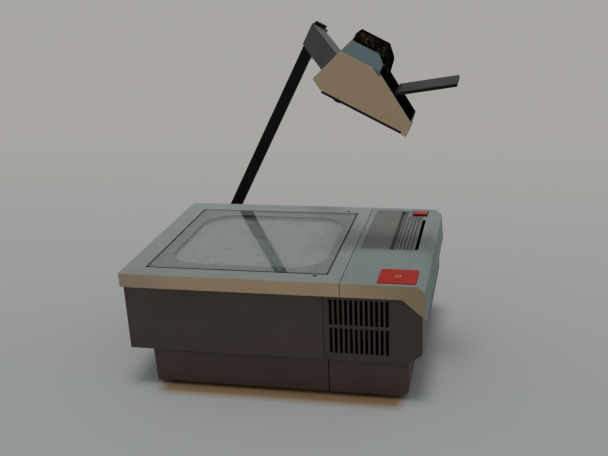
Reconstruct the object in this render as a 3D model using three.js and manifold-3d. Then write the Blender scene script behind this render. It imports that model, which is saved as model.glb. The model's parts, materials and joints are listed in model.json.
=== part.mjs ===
// Overhead projector: a flat glass stage in a hinged lid over a lamp housing, a control end with a
// louvre grille, and a folding arm that carries a sliding projection head with a hinged flap.
// Millimetres. The origin is the centre of the glass stage's top face, +Z is up, +X points to the
// control end, and the arm stands on the +Y side.

import * as THREE from 'three';
import { mergeVertices } from 'three/addons/utils/BufferGeometryUtils.js';
import Module from 'manifold-3d';

const wasm = await Module();
wasm.setup();
const { Manifold } = wasm;

// Shared values: how far a cut runs past its wall, the gap between seated pieces, and round facets
const overrun = 2;
const seat = 0.3;
const roundSides = 32;
const smallSides = 16;

// Glass stage and the light opening under it
const glass = { width: 298, depth: 314, thick: 4, edgeGap: 1.1, corner: 2 };
const aperture = { width: 263, depth: 259, corner: 55, shift: 4, lip: 2.4 };
const fresnel = { thick: 3, margin: 8 };
const retainer = { thick: 3, margin: 8, openMargin: 3 };

// Hinged lid round the glass
const lid = { width: 360, depth: 387, leftBorder: 36, rise: 0.6, top: 3, skirt: 22.6, wall: 2.8, corner: 4, seam: 1 };
const shelf = { margin: 9, thick: 3 };
const lidScrew = { fromSeam: 43, fromEdge: 27.5, head: 3.2, height: 1.2, shank: 1.6, length: 5 };
const lidHinge = { inset: 2, drop: 18.5, radius: 3.6, pin: 1.5, spread: 120, bodyLength: 22, lidLength: 12, gap: 0.5 };

// Dark upper housing under the lid, in a left and a right moulding
const housing = { inset: 6, draft: 3, sideInset: 4, topDrop: 6.6, stepDrop: 131.2, wall: 3, split: 332, splitGap: 0.6 };
const nose = { reach: 486.5, shoulderRun: 12.5, shoulderDrop: 16, chinDrop: 114.6, chinRun: 18, chinHeight: 13, footRun: 4 };
const lampHole = { width: 190, depth: 230, corner: 30 };
const controlHole = { width: 70, depth: 160, shift: 10 };
const grille = { count: 12, pitch: 8, slot: 4.4, start: 344.4, rowTops: [28.6, 76.6], rowHeight: 42 };

// Lower base on small feet
const base = { left: 45.3, draft: 3, right: 465.2, sideInset: 10, height: 59.6, wall: 3, split: 338, splitGap: 1, corner: 14 };
const airSlot = { count: 9, pitch: 14, width: 5, length: 120, centre: 190 };
const foot = { radius: 8.5, height: 5, chamfer: 1, firstX: 78, secondX: 408, sideInset: 24, sides: 24 };

// Fixed control cover with its front apron
const cover = { topEdge: 479, front: 490, bevelDrop: 10, lip: 493, lipDrop: 55, cheekStart: 456, cheekTurn: 487, cheekTurnDrop: 50,
  cornerCut: 5, wall: 2.8 };
const pad = { left: 416.5, width: 59, nearInset: 8.5, depth: 58, rise: 1.1, thick: 4.5, corner: 3, gap: 0.5, stem: 4, stemLength: 11.5 };
const padSwitch = { width: 24, depth: 28, height: 15, strapWidth: 20, strapThick: 2.4, strapDrop: 12, legGap: 1.5 };
const rocker = { left: 440, width: 25, near: 345, depth: 30, rise: 2.2, drop: 9, footShare: 0.55, gap: 1.4, tilt: 7, pivotDrop: 6, pin: 2 };
const rockerBox = { wall: 1.8, drop: 20, rim: 1.2 };
const recess = { left: 370, right: 477.5, near: 158, far: 370.5, depth: 0.8 };
const well = { left: 416.5, right: 456.5, narrow: 436, near: 158, far: 339.5, longFar: 370.5, depth: 2.6, deepWidth: 7, deepDepth: 5, floor: 1.6 };
const wellRib = { count: 4, width: 2.2, drop: 0.9 };
const fingerSlot = { left: 459.5, width: 5.5, near: 162, length: 162 };

// Lamp bay
const tray = { width: 120, depth: 150, thick: 1.5, lip: 18 };
const reflector = { radius: 34, depth: 20, thick: 1.5, foot: 8 };
const lamp = { radius: 6, length: 26, pinch: 4, pinchLength: 8, height: 30.5 };
const lampHolder = { length: 28, width: 24, height: 38, bore: 5 };
const condenser = { radius: 44, edge: 4, bulge: 12, ringWidth: 9, ringHeight: 10, plate: 214, plateDepth: 254, plateThick: 2 };
const shield = { place: 306, thick: 1.5, depth: 330, drop: 20, hole: 40, holeDrop: 75 };

// Fan and transformer
const fan = { size: 92, thick: 25, place: 388.4, bore: 42.5, hub: 19, hubDepth: 17, hubWall: 2, mount: 17, mountThick: 3, strut: 5 };
const fanBlade = { count: 7, tipGap: 1.5, thick: 1.8, width: 14, pitchAngle: 32 };
const transformer = { place: 405, depthPlace: 95, width: 66, depth: 54, height: 46, coilWidth: 30, coilDepth: 74, coilHeight: 30, clip: 3 };
const inlet = { place: 400, drop: 160, width: 27, height: 20, flange: 5, flangeThick: 2, depth: 18, well: 14, wallThick: 2.5, pinCount: 3, pinPitch: 7, pinSize: 2 };

// Arm, leaning in its slot on the far side
const arm = { pivotX: 35, pivotDrop: 92.6, lean: 27.35, width: 22, thick: 8, standOff: 38, topEnd: 469, foot: 17, bolt: 5, nutShare: 1.8 };
const armBracket = { width: 74, height: 64, plate: 4, boss: 19, bossSmall: 15, corner: 6 };
const armWasher = { radius: 14, thick: 1.5 };
const armKnob = { radius: 16, thick: 9, lobes: 8, lobeDepth: 1.4, head: 4 };

// Focus drive: straight rack on the arm and a pinion in the carriage
const drive = { module: 1.25, teeth: 12, addendumShare: 0.8, dedendumShare: 1.15, toothShare: 0.4, topShare: 0.2, width: 5, rackBase: 1.6, rackBelow: 18, fromBottom: 14, blockHeight: 25,
  shaft: 3, shaftEnd: 2 };
const focusKnob = { radius: 11, thick: 14, ribs: 20, ribDepth: 0.8, bore: 9 };

// Carriage: sleeve round the arm and a diagonal beam to the head
const carriage = { grip: 27, height: 43, wall: 2, driveSide: 34, beamEnd: 85.7, beamWidth: 24.5, flange: 38, flangeThick: 4, slack: 0.3 };
const carriageCap = { thick: 6, left: 10, right: 13, inset: 2 };

// Projection head, in the arm's upright frame: distance from the arm line, and height above the pivot
const head = { near: -43, depth: 86, wall: 2.5, fromCarriage: 5, tipA: 60, tipRise: 10.5, floorStart: 78, noseA: 234, noseTopA: 230,
  noseRise: 20.5, mouthTopA: 150.6, mouthTopRise: 68, browA: 150, browRise: 80, crestA: 137, backA: 88, topRise: 90.5, bevelRise: 70, bevelInset: 15,
  lip: 9, lipDrop: 4.5 };
const headPlate = { thick: 4, inset: 3, lensHole: 22 };
const headLatch = { place: 110, side: -33, radius: 6.5, height: 2 };
const bezel = { start: 1.5, end: 90.5, thick: 3, side: 2.7, holeStart: 48, holeEnd: 84, holeSide: 9 };
const cap = { half: 28, rise: 16, back: 1, backRise: 11, backTop: 4, topFront: 140, faceA: 157, faceRise: 85, tipA: 160.8, tipRise: 64, topHalf: 13 };
const flap = { place: 42.1, raise: 3, angle: 35.8, length: 95.8, width: 86, thick: 5.2, barrel: 2.6, pin: 1.1, panelInset: 0.8, panelThick: 1,
  rib: 1.4, ribCount: 3, skin: 1, rim: 3, earPlace: 28, ear: 6, earGap: 0.6 };
const barrel = { place: 154, radius: 24, bore: 20.5, height: 16, lipWidth: 2, lipHeight: 2.4 };
const lens = { radius: 20, edge: 2, bulge: 1.5, gap: 2 };
const headMirror = { startA: 136.5, startRise: 19, length: 41, width: 64, thick: 3, tilt: 45, backThick: 2, legThick: 2, legShare: 0.02, footReach: 16 };

const degrees = Math.PI / 180;

// Places that follow from the sizes. Sizes along the body are given from the lid's left and near edges.
const lidLeft = -(glass.width / 2 + lid.leftBorder);
const halfDepth = lid.depth / 2;
const lidTop = lid.rise;
const along = (fromLeft) => lidLeft + fromLeft;
const across = (fromNear) => fromNear - halfDepth;
const down = (drop) => lidTop - drop;
const lidRight = along(lid.width) - lid.seam / 2;
const coverLeft = along(lid.width) + lid.seam / 2;
const skirtBottom = down(lid.skirt);
const shelfTop = -glass.thick - seat;
const shelfBottom = shelfTop - shelf.thick;
const fresnelTop = shelfBottom - seat;
const fresnelBottom = fresnelTop - fresnel.thick;
const hingeX = along(lidHinge.inset);
const hingeZ = down(lidHinge.drop);
const housingSide = halfDepth - housing.sideInset;
const housingFloor = down(housing.stepDrop) + housing.wall;
const baseTop = down(housing.stepDrop) - seat;
const baseBottom = baseTop - base.height;
const baseFloor = baseBottom + base.wall;
const baseSide = halfDepth - base.sideInset;
const lampX = aperture.shift;
const armPlane = halfDepth + arm.standOff;
const armNear = armPlane - arm.thick / 2;
const armFar = armPlane + arm.thick / 2;
const pitchRadius = drive.module * drive.teeth / 2;
const rackFace = arm.width / 2 + seat + drive.rackBase;
const pitchLine = rackFace + drive.module * drive.dedendumShare;
const pinionA = pitchLine + pitchRadius;
const pinionTip = pitchRadius + drive.module * drive.addendumShare;
const carriageBottom = arm.topEnd - carriage.grip;
const carriageTop = carriageBottom + carriage.height;
const headBottom = carriageBottom + head.fromCarriage;
const rackBottom = carriageBottom - drive.rackBelow;
const pinionZ = carriageBottom + drive.fromBottom;
const sleeveNear = armNear - carriage.slack - carriage.wall;
const sleeveFar = armFar + carriage.slack + carriage.wall;
const headFar = head.near + head.depth;

// Looks of each material
const finishes = {
  beige: { color: 0xb4a183, roughness: 0.6, metalness: 0 },
  darkBrown: { color: 0x4a3f3b, roughness: 0.65, metalness: 0 },
  wellGrey: { color: 0x5d5a55, roughness: 0.7, metalness: 0 },
  red: { color: 0xb3261f, roughness: 0.45, metalness: 0 },
  black: { color: 0x17171a, roughness: 0.5, metalness: 0 },
  glossBlack: { color: 0x100f12, roughness: 0.08, metalness: 0 },
  armBlack: { color: 0x141413, roughness: 0.45, metalness: 0.2 },
  darkGrey: { color: 0x3d3d3f, roughness: 0.55, metalness: 0.1 },
  paleGrey: { color: 0x8d8d8c, roughness: 0.6, metalness: 0 },
  clearGlass: { color: 0xcfe0dd, roughness: 0.05, metalness: 0 },
  lensPlastic: { color: 0xd8dedc, roughness: 0.25, metalness: 0 },
  mirror: { color: 0xe6e8ea, roughness: 0.03, metalness: 1 },
  steel: { color: 0x9a9c9e, roughness: 0.35, metalness: 1 },
  sheet: { color: 0xa9abac, roughness: 0.45, metalness: 1 },
  brass: { color: 0xb08b45, roughness: 0.4, metalness: 1 },
  copper: { color: 0x9a5a2e, roughness: 0.5, metalness: 0.6 },
  rubber: { color: 0x1b1a1a, roughness: 0.9, metalness: 0 },
  ceramic: { color: 0xddd8cc, roughness: 0.7, metalness: 0 },
};

// Solids from three.js geometry
function solid(geometry) {
  const bare = geometry.index ? geometry.toNonIndexed() : geometry.clone();
  bare.deleteAttribute('normal');
  bare.deleteAttribute('uv');
  const merged = mergeVertices(bare);
  const vertProperties = Float32Array.from(merged.attributes.position.array);
  const triVerts = Uint32Array.from(merged.index.array);
  return new Manifold(new wasm.Mesh({ numProp: 3, vertProperties, triVerts }));
}

function geometryOf(body) {
  const mesh = body.getMesh();
  const geometry = new THREE.BufferGeometry();
  geometry.setAttribute('position', new THREE.BufferAttribute(Float32Array.from(mesh.vertProperties), 3));
  geometry.setIndex(new THREE.BufferAttribute(Uint32Array.from(mesh.triVerts), 1));
  geometry.computeVertexNormals();
  return geometry;
}

function shapeOf(points) {
  return points instanceof THREE.Shape ? points : new THREE.Shape(points.map(([x, y]) => new THREE.Vector2(x, y)));
}

// A prism of an outline in the plane of the two other axes, between two places along one axis
function prismZ(outline, low, high, arcSteps = 3) {
  const geometry = new THREE.ExtrudeGeometry(shapeOf(outline), { depth: high - low, bevelEnabled: false, curveSegments: arcSteps });
  return solid(geometry.translate(0, 0, low));
}

function prismY(outline, low, high) {
  const geometry = new THREE.ExtrudeGeometry(shapeOf(outline), { depth: high - low, bevelEnabled: false, curveSegments: 3 });
  return solid(geometry.rotateX(Math.PI / 2).translate(0, high, 0));
}

function prismX(outline, low, high) {
  const geometry = new THREE.ExtrudeGeometry(shapeOf(outline), { depth: high - low, bevelEnabled: false, curveSegments: 3 });
  const turned = new THREE.Matrix4().set(0, 0, 1, 0, 1, 0, 0, 0, 0, 1, 0, 0, 0, 0, 0, 1);
  return solid(geometry.applyMatrix4(turned).translate(low, 0, 0));
}

function block(x0, x1, y0, y1, z0, z1) {
  const geometry = new THREE.BoxGeometry(x1 - x0, y1 - y0, z1 - z0);
  return solid(geometry.translate((x0 + x1) / 2, (y0 + y1) / 2, (z0 + z1) / 2));
}

// A cylinder along one axis; its centre is given in the order of the two other axes
function rod(axis, radius, low, high, centre, sides = roundSides) {
  const geometry = new THREE.CylinderGeometry(radius, radius, high - low, sides);
  const middle = (low + high) / 2;
  if (axis === 'x') {
    return solid(geometry.rotateZ(Math.PI / 2).translate(middle, centre[0], centre[1]));
  }
  if (axis === 'y') {
    return solid(geometry.translate(centre[0], middle, centre[1]));
  }
  return solid(geometry.rotateX(Math.PI / 2).translate(centre[0], centre[1], middle));
}

// A revolved body about Z from points of radius and height
function turned(profile, centre, sides = roundSides) {
  const geometry = new THREE.LatheGeometry(profile.map(([r, z]) => new THREE.Vector2(r, z)), sides);
  return solid(geometry.rotateX(Math.PI / 2).translate(centre[0], centre[1], 0));
}

function joined(bodies) {
  return bodies.reduce((sum, body) => sum.add(body));
}

// Plan outline of a rectangle with its own radius at each corner: near left, near right, far right, far left
function roundedRect(x0, x1, y0, y1, radii) {
  const [a, b, c, d] = Array.isArray(radii) ? radii : [radii, radii, radii, radii];
  const shape = new THREE.Shape();
  shape.moveTo(x0 + a, y0);
  shape.lineTo(x1 - b, y0);
  if (b > 0) shape.absarc(x1 - b, y0 + b, b, -Math.PI / 2, 0);
  shape.lineTo(x1, y1 - c);
  if (c > 0) shape.absarc(x1 - c, y1 - c, c, 0, Math.PI / 2);
  shape.lineTo(x0 + d, y1);
  if (d > 0) shape.absarc(x0 + d, y1 - d, d, Math.PI / 2, Math.PI);
  shape.lineTo(x0, y0 + a);
  if (a > 0) shape.absarc(x0 + a, y0 + a, a, Math.PI, 1.5 * Math.PI);
  return shape;
}

// Corner points of a counter-clockwise outline, each edge moved inward by its wall
function inset(points, walls) {
  const count = points.length;
  const wallOf = (i) => (Array.isArray(walls) ? walls[i] : walls);
  return points.map((point, i) => {
    const before = (i + count - 1) % count;
    const from = points[before];
    const to = points[(i + 1) % count];
    const inLength = Math.hypot(point[0] - from[0], point[1] - from[1]);
    const outLength = Math.hypot(to[0] - point[0], to[1] - point[1]);
    const n1 = [-(point[1] - from[1]) / inLength, (point[0] - from[0]) / inLength];
    const n2 = [-(to[1] - point[1]) / outLength, (to[0] - point[0]) / outLength];
    const spread = n1[0] * n2[1] - n1[1] * n2[0];
    const w1 = wallOf(before);
    const w2 = wallOf(i);
    return [point[0] + (w1 * n2[1] - w2 * n1[1]) / spread, point[1] + (n1[0] * w2 - n2[0] * w1) / spread];
  });
}

// A biconvex lens: radius, edge thickness and bulge of each face, centred at a height
function lensBody(radius, edge, bulge, middle, centre) {
  const rings = 3;
  const upper = [];
  for (let i = 0; i <= rings; i += 1) {
    const share = i / rings;
    upper.push([radius * share, middle + edge / 2 + bulge * (1 - share * share)]);
  }
  const lower = upper.map(([r, z]) => [r, 2 * middle - z]).reverse();
  return turned([...lower.reverse(), ...upper.reverse()], centre, 28);
}

// Stage lid: frame with skirt, glass pocket and shelf, hinge knuckles on the left
function makeStageFrame() {
  const r = lid.corner;
  const shell = prismZ(roundedRect(lidLeft, lidRight, -halfDepth, halfDepth, [r, 0, 0, r]), skirtBottom, lidTop);
  const under = block(lidLeft + lid.wall, lidRight + overrun, -halfDepth + lid.wall, halfDepth - lid.wall,
    skirtBottom - overrun, lidTop - lid.top);
  const halfW = glass.width / 2 + shelf.margin;
  const halfD = glass.depth / 2 + shelf.margin;
  const thick = block(-halfW, halfW, -halfD, halfD, shelfBottom, lidTop - lid.top / 2);
  const pocketW = glass.width / 2 + glass.edgeGap;
  const pocketD = glass.depth / 2 + glass.edgeGap;
  const pocket = prismZ(roundedRect(-pocketW, pocketW, -pocketD, pocketD, glass.corner + glass.edgeGap), shelfTop, lidTop + overrun);
  let frame = shell.subtract(under).add(thick).subtract(pocket).subtract(apertureCut(0, shelfBottom - overrun, shelfTop + overrun));
  for (const side of [-1, 1]) {
    const mid = side * lidHinge.spread;
    const halfBody = lidHinge.bodyLength / 2 + lidHinge.gap;
    frame = frame.subtract(block(lidLeft - overrun, lidLeft + lid.wall + overrun, mid - halfBody, mid + halfBody,
      skirtBottom - overrun, hingeZ + lidHinge.radius + lidHinge.gap));
    for (const end of [-1, 1]) {
      const low = mid + (end < 0 ? -halfBody - lidHinge.lidLength : halfBody);
      frame = frame.add(rod('y', lidHinge.radius, low, low + lidHinge.lidLength, [hingeX, hingeZ], smallSides));
    }
    const reach = halfBody + lidHinge.lidLength + overrun;
    frame = frame.subtract(rod('y', lidHinge.pin + seat, mid - reach, mid + reach, [hingeX, hingeZ], smallSides));
  }
  for (const y of lidScrewPlaces()) {
    frame = frame.subtract(rod('z', lidScrew.head + seat, lidTop - lidScrew.height, lidTop + overrun, [lidScrewX(), y], smallSides));
    frame = frame.subtract(rod('z', lidScrew.shank + seat, skirtBottom - overrun, lidTop + overrun, [lidScrewX(), y], smallSides));
  }
  return frame;
}

function apertureCut(grow, low, high) {
  const halfW = aperture.width / 2 + grow;
  const halfD = aperture.depth / 2 + grow;
  return prismZ(roundedRect(aperture.shift - halfW, aperture.shift + halfW, -halfD, halfD, aperture.corner + grow), low, high, 5);
}

function lidScrewX() {
  return along(lid.width - lidScrew.fromSeam);
}

function lidScrewPlaces() {
  return [-halfDepth + lidScrew.fromEdge, halfDepth - lidScrew.fromEdge];
}

function makeGlass() {
  return prismZ(roundedRect(-glass.width / 2, glass.width / 2, -glass.depth / 2, glass.depth / 2, glass.corner), -glass.thick, 0);
}

function makeFresnel() {
  const halfW = aperture.width / 2 + fresnel.margin;
  const halfD = aperture.depth / 2 + fresnel.margin;
  return block(aperture.shift - halfW, aperture.shift + halfW, -halfD, halfD, fresnelBottom, fresnelTop);
}

// Frame under the Fresnel lens, with a rim that reaches up round it to the shelf
function makeRetainer() {
  const halfW = aperture.width / 2 + fresnel.margin;
  const halfD = aperture.depth / 2 + fresnel.margin;
  const x = aperture.shift;
  const rim = retainer.margin;
  const outer = block(x - halfW - rim, x + halfW + rim, -halfD - rim, halfD + rim, fresnelBottom - seat - retainer.thick, fresnelTop);
  const bed = block(x - halfW - seat, x + halfW + seat, -halfD - seat, halfD + seat, fresnelBottom - seat, fresnelTop + overrun);
  return outer.subtract(bed).subtract(apertureCut(retainer.openMargin, fresnelBottom - retainer.thick - overrun, fresnelTop + overrun));
}

function makeLidScrew(y) {
  const headPart = rod('z', lidScrew.head, lidTop - lidScrew.height + seat, lidTop + seat, [lidScrewX(), y], smallSides);
  const shank = rod('z', lidScrew.shank, lidTop - lidScrew.length, lidTop, [lidScrewX(), y], smallSides);
  return headPart.add(shank);
}

function makeHingePin(mid) {
  const reach = lidHinge.bodyLength / 2 + lidHinge.gap + lidHinge.lidLength;
  return rod('y', lidHinge.pin, mid - reach, mid + reach, [hingeX, hingeZ], smallSides);
}

// Left moulding of the housing: drafted left wall, two long sides and a floor with the lamp opening
function makeLeftHousing() {
  const top = down(housing.topDrop);
  const bottom = down(housing.stepDrop);
  const right = along(housing.split) - housing.splitGap / 2;
  const left = along(housing.inset);
  const outline = [[left + housing.draft, bottom], [right, bottom], [right, top], [left, top]];
  const room = [[left + housing.draft + housing.wall, housingFloor], [right + overrun, housingFloor],
    [right + overrun, top + overrun], [left + housing.wall, top + overrun]];
  let body = prismY(outline, -housingSide, housingSide);
  body = body.subtract(prismY(room, -housingSide + housing.wall, housingSide - housing.wall));
  const halfW = lampHole.width / 2;
  const halfD = lampHole.depth / 2;
  body = body.subtract(prismZ(roundedRect(lampX - halfW, lampX + halfW, -halfD, halfD, lampHole.corner), bottom - overrun, housingFloor + overrun));
  for (const side of [-1, 1]) {
    const low = side * lidHinge.spread - lidHinge.bodyLength / 2;
    const high = low + lidHinge.bodyLength;
    const knuckle = rod('y', lidHinge.radius, low, high, [hingeX, hingeZ], smallSides);
    const web = block(hingeX, left + housing.wall / 2, low, high, hingeZ - lidHinge.radius / 2, hingeZ + lidHinge.radius / 2);
    body = body.add(knuckle).add(web);
    body = body.subtract(rod('y', lidHinge.pin + seat, low - overrun, high + overrun, [hingeX, hingeZ], smallSides));
  }
  return body.subtract(armBoltCut(-overrun));
}

// Bore for the arm's bolt through the far wall of the housing
function armBoltCut(grow) {
  const far = housingSide + overrun;
  return rod('y', arm.bolt + seat, housingSide - housing.wall + grow, far, [along(arm.pivotX), down(arm.pivotDrop)], smallSides);
}

function noseOutline() {
  const left = along(housing.split) + housing.splitGap / 2;
  const right = along(nose.reach);
  const top = down(housing.topDrop);
  const bottom = down(housing.stepDrop);
  const chin = down(nose.chinDrop);
  return [[left, bottom], [right - nose.chinRun - nose.footRun, bottom], [right - nose.chinRun, chin - nose.chinHeight],
    [right, chin], [right, top - nose.shoulderDrop], [right - nose.shoulderRun, top], [left, top]];
}

// Right moulding of the housing, with two rows of louvre slots in its near side
function makeRightHousing() {
  const outline = noseOutline();
  const room = inset(outline, housing.wall);
  const top = down(housing.topDrop);
  room[0][0] -= housing.wall + overrun;
  room[6][0] -= housing.wall + overrun;
  room[6][1] = top + overrun;
  room[5][1] = top + overrun;
  let body = prismY(outline, -housingSide, housingSide);
  body = body.subtract(prismY(room, -housingSide + housing.wall, housingSide - housing.wall));
  const holeX = along(transformer.place) - controlHole.shift;
  const halfW = controlHole.width / 2;
  body = body.subtract(block(holeX - halfW, holeX + halfW, 0, controlHole.depth, down(housing.stepDrop) - overrun, housingFloor + overrun));
  for (const drop of grille.rowTops) {
    for (let i = 0; i < grille.count; i += 1) {
      const x = along(grille.start + i * grille.pitch);
      const z = down(drop);
      body = body.subtract(block(x - grille.slot / 2, x + grille.slot / 2, -housingSide - overrun, overrun - housingSide + housing.wall, z - grille.rowHeight, z));
    }
  }
  return body;
}

// Lower base: left and right trays, the right one with a rounded lower corner
function makeLeftBase() {
  const right = along(base.split) - base.splitGap / 2;
  const left = along(base.left);
  const outline = [[left + base.draft, baseBottom], [right, baseBottom], [right, baseTop], [left, baseTop]];
  const room = [[left + base.draft + base.wall, baseFloor], [right + overrun, baseFloor], [right + overrun, baseTop + overrun],
    [left + base.wall, baseTop + overrun]];
  let body = prismY(outline, -baseSide, baseSide).subtract(prismY(room, -baseSide + base.wall, baseSide - base.wall));
  for (const side of [-1, 1]) {
    for (let i = 0; i < airSlot.count; i += 1) {
      const x = lampX + (i - (airSlot.count - 1) / 2) * airSlot.pitch;
      const y = side * airSlot.length * 0.75;
      body = body.subtract(block(x - airSlot.width / 2, x + airSlot.width / 2, y - airSlot.length / 4, y + airSlot.length / 4,
        baseBottom - overrun, baseFloor + overrun));
    }
  }
  return body;
}

function makeRightBase() {
  const left = along(base.split) + base.splitGap / 2;
  const right = along(base.right);
  const outer = roundedRect(left, right, baseBottom, baseTop, [0, base.corner, 0, 0]);
  const room = roundedRect(left - overrun, right - base.wall, baseFloor, baseTop + overrun, [0, base.corner - base.wall, 0, 0]);
  const body = prismY(outer, -baseSide, baseSide).subtract(prismY(room, -baseSide + base.wall, baseSide - base.wall));
  const x = along(inlet.place);
  const z = down(inlet.drop);
  const halfW = inlet.width / 2 + seat;
  const halfH = inlet.height / 2 + seat;
  return body.subtract(block(x - halfW, x + halfW, baseSide - base.wall - overrun, baseSide + overrun, z - halfH, z + halfH));
}

function makeFoot(x, y) {
  const top = baseBottom - seat;
  const bottom = top - foot.height;
  const slim = foot.radius - foot.chamfer;
  return turned([[0, bottom], [slim, bottom], [foot.radius, bottom + foot.chamfer], [foot.radius, top], [0, top]], [x, y], 24);
}

// Control cover: flat top, bevel, flared front apron and cheeks that run down to it
function coverOutline() {
  return [[coverLeft, skirtBottom], [along(cover.cheekStart), skirtBottom], [along(cover.cheekTurn), down(cover.cheekTurnDrop)],
    [along(cover.lip), down(cover.lipDrop)], [along(cover.front), down(cover.bevelDrop)], [along(cover.topEdge), lidTop], [coverLeft, lidTop]];
}

function makeControlCover() {
  const bottom = down(cover.lipDrop);
  const ledge = down(housing.topDrop) + seat;
  const room = [[coverLeft - overrun, bottom - overrun], [along(cover.lip) - cover.wall, bottom - overrun],
    [along(cover.front) - cover.wall, down(cover.bevelDrop) - cover.wall / 2], [along(cover.topEdge) - cover.wall / 2, lidTop - cover.wall],
    [coverLeft + cover.wall, lidTop - cover.wall], [coverLeft + cover.wall, ledge], [coverLeft - overrun, ledge]];
  const plan = roundedRect(coverLeft, along(cover.lip), -halfDepth, halfDepth, [0, cover.cornerCut, cover.cornerCut, 0]);
  let body = prismY(coverOutline(), -halfDepth, halfDepth).intersect(prismZ(plan, bottom - overrun, lidTop + overrun));
  body = body.subtract(prismY(room, -halfDepth + cover.wall, halfDepth - cover.wall));
  const up = lidTop + overrun;
  body = body.subtract(block(along(recess.left), along(recess.right), across(recess.near), across(recess.far), lidTop - recess.depth, up));
  body = body.subtract(prismZ(padOutline(pad.gap), lidTop - cover.wall - overrun, up));
  body = body.subtract(prismZ(wellOutline(seat), lidTop - cover.wall - overrun, up));
  body = body.subtract(prismZ(slotOutline(), lidTop - cover.wall - overrun, up));
  const g = rocker.gap;
  const x = along(rocker.left);
  const y = across(rocker.near);
  return body.subtract(block(x - g, x + rocker.width + g, y - g, y + rocker.depth + g, lidTop - cover.wall - overrun, up));
}

function padOutline(grow) {
  const x = along(pad.left);
  const y = across(pad.nearInset);
  return roundedRect(x - grow, x + pad.width + grow, y - grow, y + pad.depth + grow, pad.corner + grow);
}

function slotOutline() {
  const x = along(fingerSlot.left);
  const y = across(fingerSlot.near);
  return roundedRect(x, x + fingerSlot.width, y, y + fingerSlot.length, fingerSlot.width / 3);
}

function wellOutline(grow) {
  const left = along(well.left) - grow;
  const right = along(well.right) + grow;
  const narrow = along(well.narrow) + grow;
  const near = across(well.near) - grow;
  const far = across(well.far) + grow;
  const longFar = across(well.longFar) + grow;
  return [[left, near], [right, near], [right, far], [narrow, far], [narrow, longFar], [left, longFar]];
}

// Ribbed insert of the grip well: one deep channel and lengthwise ribs over a shallow floor
function makeGripWell() {
  const left = along(well.left);
  const top = lidTop - wellRib.drop;
  const deepFloor = lidTop - well.deepDepth;
  const deepRight = left + well.floor + well.deepWidth;
  let body = prismZ(wellOutline(0), deepFloor - well.floor, top);
  const near = across(well.near) + well.floor;
  body = body.subtract(block(left + well.floor, deepRight, near, across(well.longFar) - well.floor, deepFloor, lidTop));
  const bandLeft = deepRight + well.floor;
  const band = along(well.right) - well.floor - bandLeft;
  const channel = (band - wellRib.count * wellRib.width) / (wellRib.count + 1);
  for (let i = 0; i <= wellRib.count; i += 1) {
    const x0 = bandLeft + i * (channel + wellRib.width);
    const inLong = x0 + channel < along(well.narrow) - well.floor;
    const far = across(inLong ? well.longFar : well.far) - well.floor;
    body = body.subtract(block(x0, x0 + channel, near, far, lidTop - well.depth, lidTop));
  }
  const underLeft = deepRight + well.floor;
  return body.subtract(block(underLeft, along(well.right) + overrun, across(well.near) - overrun, across(well.longFar) + overrun,
    deepFloor - well.floor - overrun, lidTop - well.depth - well.floor));
}

// Power pad: a hollow key with a stem that runs in the switch below
function makePowerPad() {
  const top = lidTop + pad.rise;
  const bottom = top - pad.thick;
  const x = along(pad.left) + pad.width / 2;
  const y = across(pad.nearInset) + pad.depth / 2;
  const wall = cover.wall;
  const shell = prismZ(padOutline(0), bottom, top);
  const room = prismZ(padOutline(-wall), bottom - overrun, top - wall);
  return shell.subtract(room).add(rod('z', pad.stem, bottom - pad.stemLength, top - wall / 2, [x, y], smallSides));
}

function makePadSwitch() {
  const x = along(pad.left) + pad.width / 2;
  const y = across(pad.nearInset) + pad.depth / 2;
  const strapTop = lidTop - padSwitch.strapDrop;
  const legTop = lidTop - cover.wall - seat;
  const far = across(pad.nearInset) + pad.depth + pad.gap + padSwitch.legGap;
  const left = along(pad.left) - pad.gap - padSwitch.legGap;
  const half = padSwitch.strapWidth / 2;
  const t = padSwitch.strapThick;
  const farStrap = block(x - half, x + half, y, far + t, strapTop - t, strapTop);
  const farLeg = block(x - half, x + half, far, far + t, strapTop - t, legTop);
  const leftStrap = block(left - t, x, y - half, y + half, strapTop - t, strapTop);
  const leftLeg = block(left - t, left, y - half, y + half, strapTop - t, legTop);
  const body = block(x - padSwitch.width / 2, x + padSwitch.width / 2, y - padSwitch.depth / 2, y + padSwitch.depth / 2,
    strapTop - padSwitch.height, strapTop);
  const bore = rod('z', pad.stem + seat, strapTop - padSwitch.height + t, strapTop + overrun, [x, y], smallSides);
  return joined([farStrap, farLeg, leftStrap, leftLeg, body]).subtract(bore);
}

// Rocker switch, tipped to one side at rest, in its box under the cover
function rockerPivot() {
  return [across(rocker.near) + rocker.depth / 2, lidTop - rocker.pivotDrop];
}

function makeRocker() {
  const half = rocker.depth / 2;
  const top = rocker.pivotDrop + rocker.rise;
  const low = rocker.pivotDrop - rocker.drop;
  const middle = top - rocker.rise / 2;
  const outline = [[-half * rocker.footShare, low], [half * rocker.footShare, low], [half, middle], [half, top], [0, middle], [-half, top], [-half, middle]];
  const body = prismX(outline, along(rocker.left), along(rocker.left) + rocker.width);
  const pinEnd = rocker.gap + seat + rockerBox.wall / 3;
  const pin = rod('x', rocker.pin, along(rocker.left) - pinEnd, along(rocker.left) + rocker.width + pinEnd, [0, 0], smallSides);
  const [y, z] = rockerPivot();
  return body.add(pin).rotate([-rocker.tilt, 0, 0]).translate([0, y, z]);
}

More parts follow.
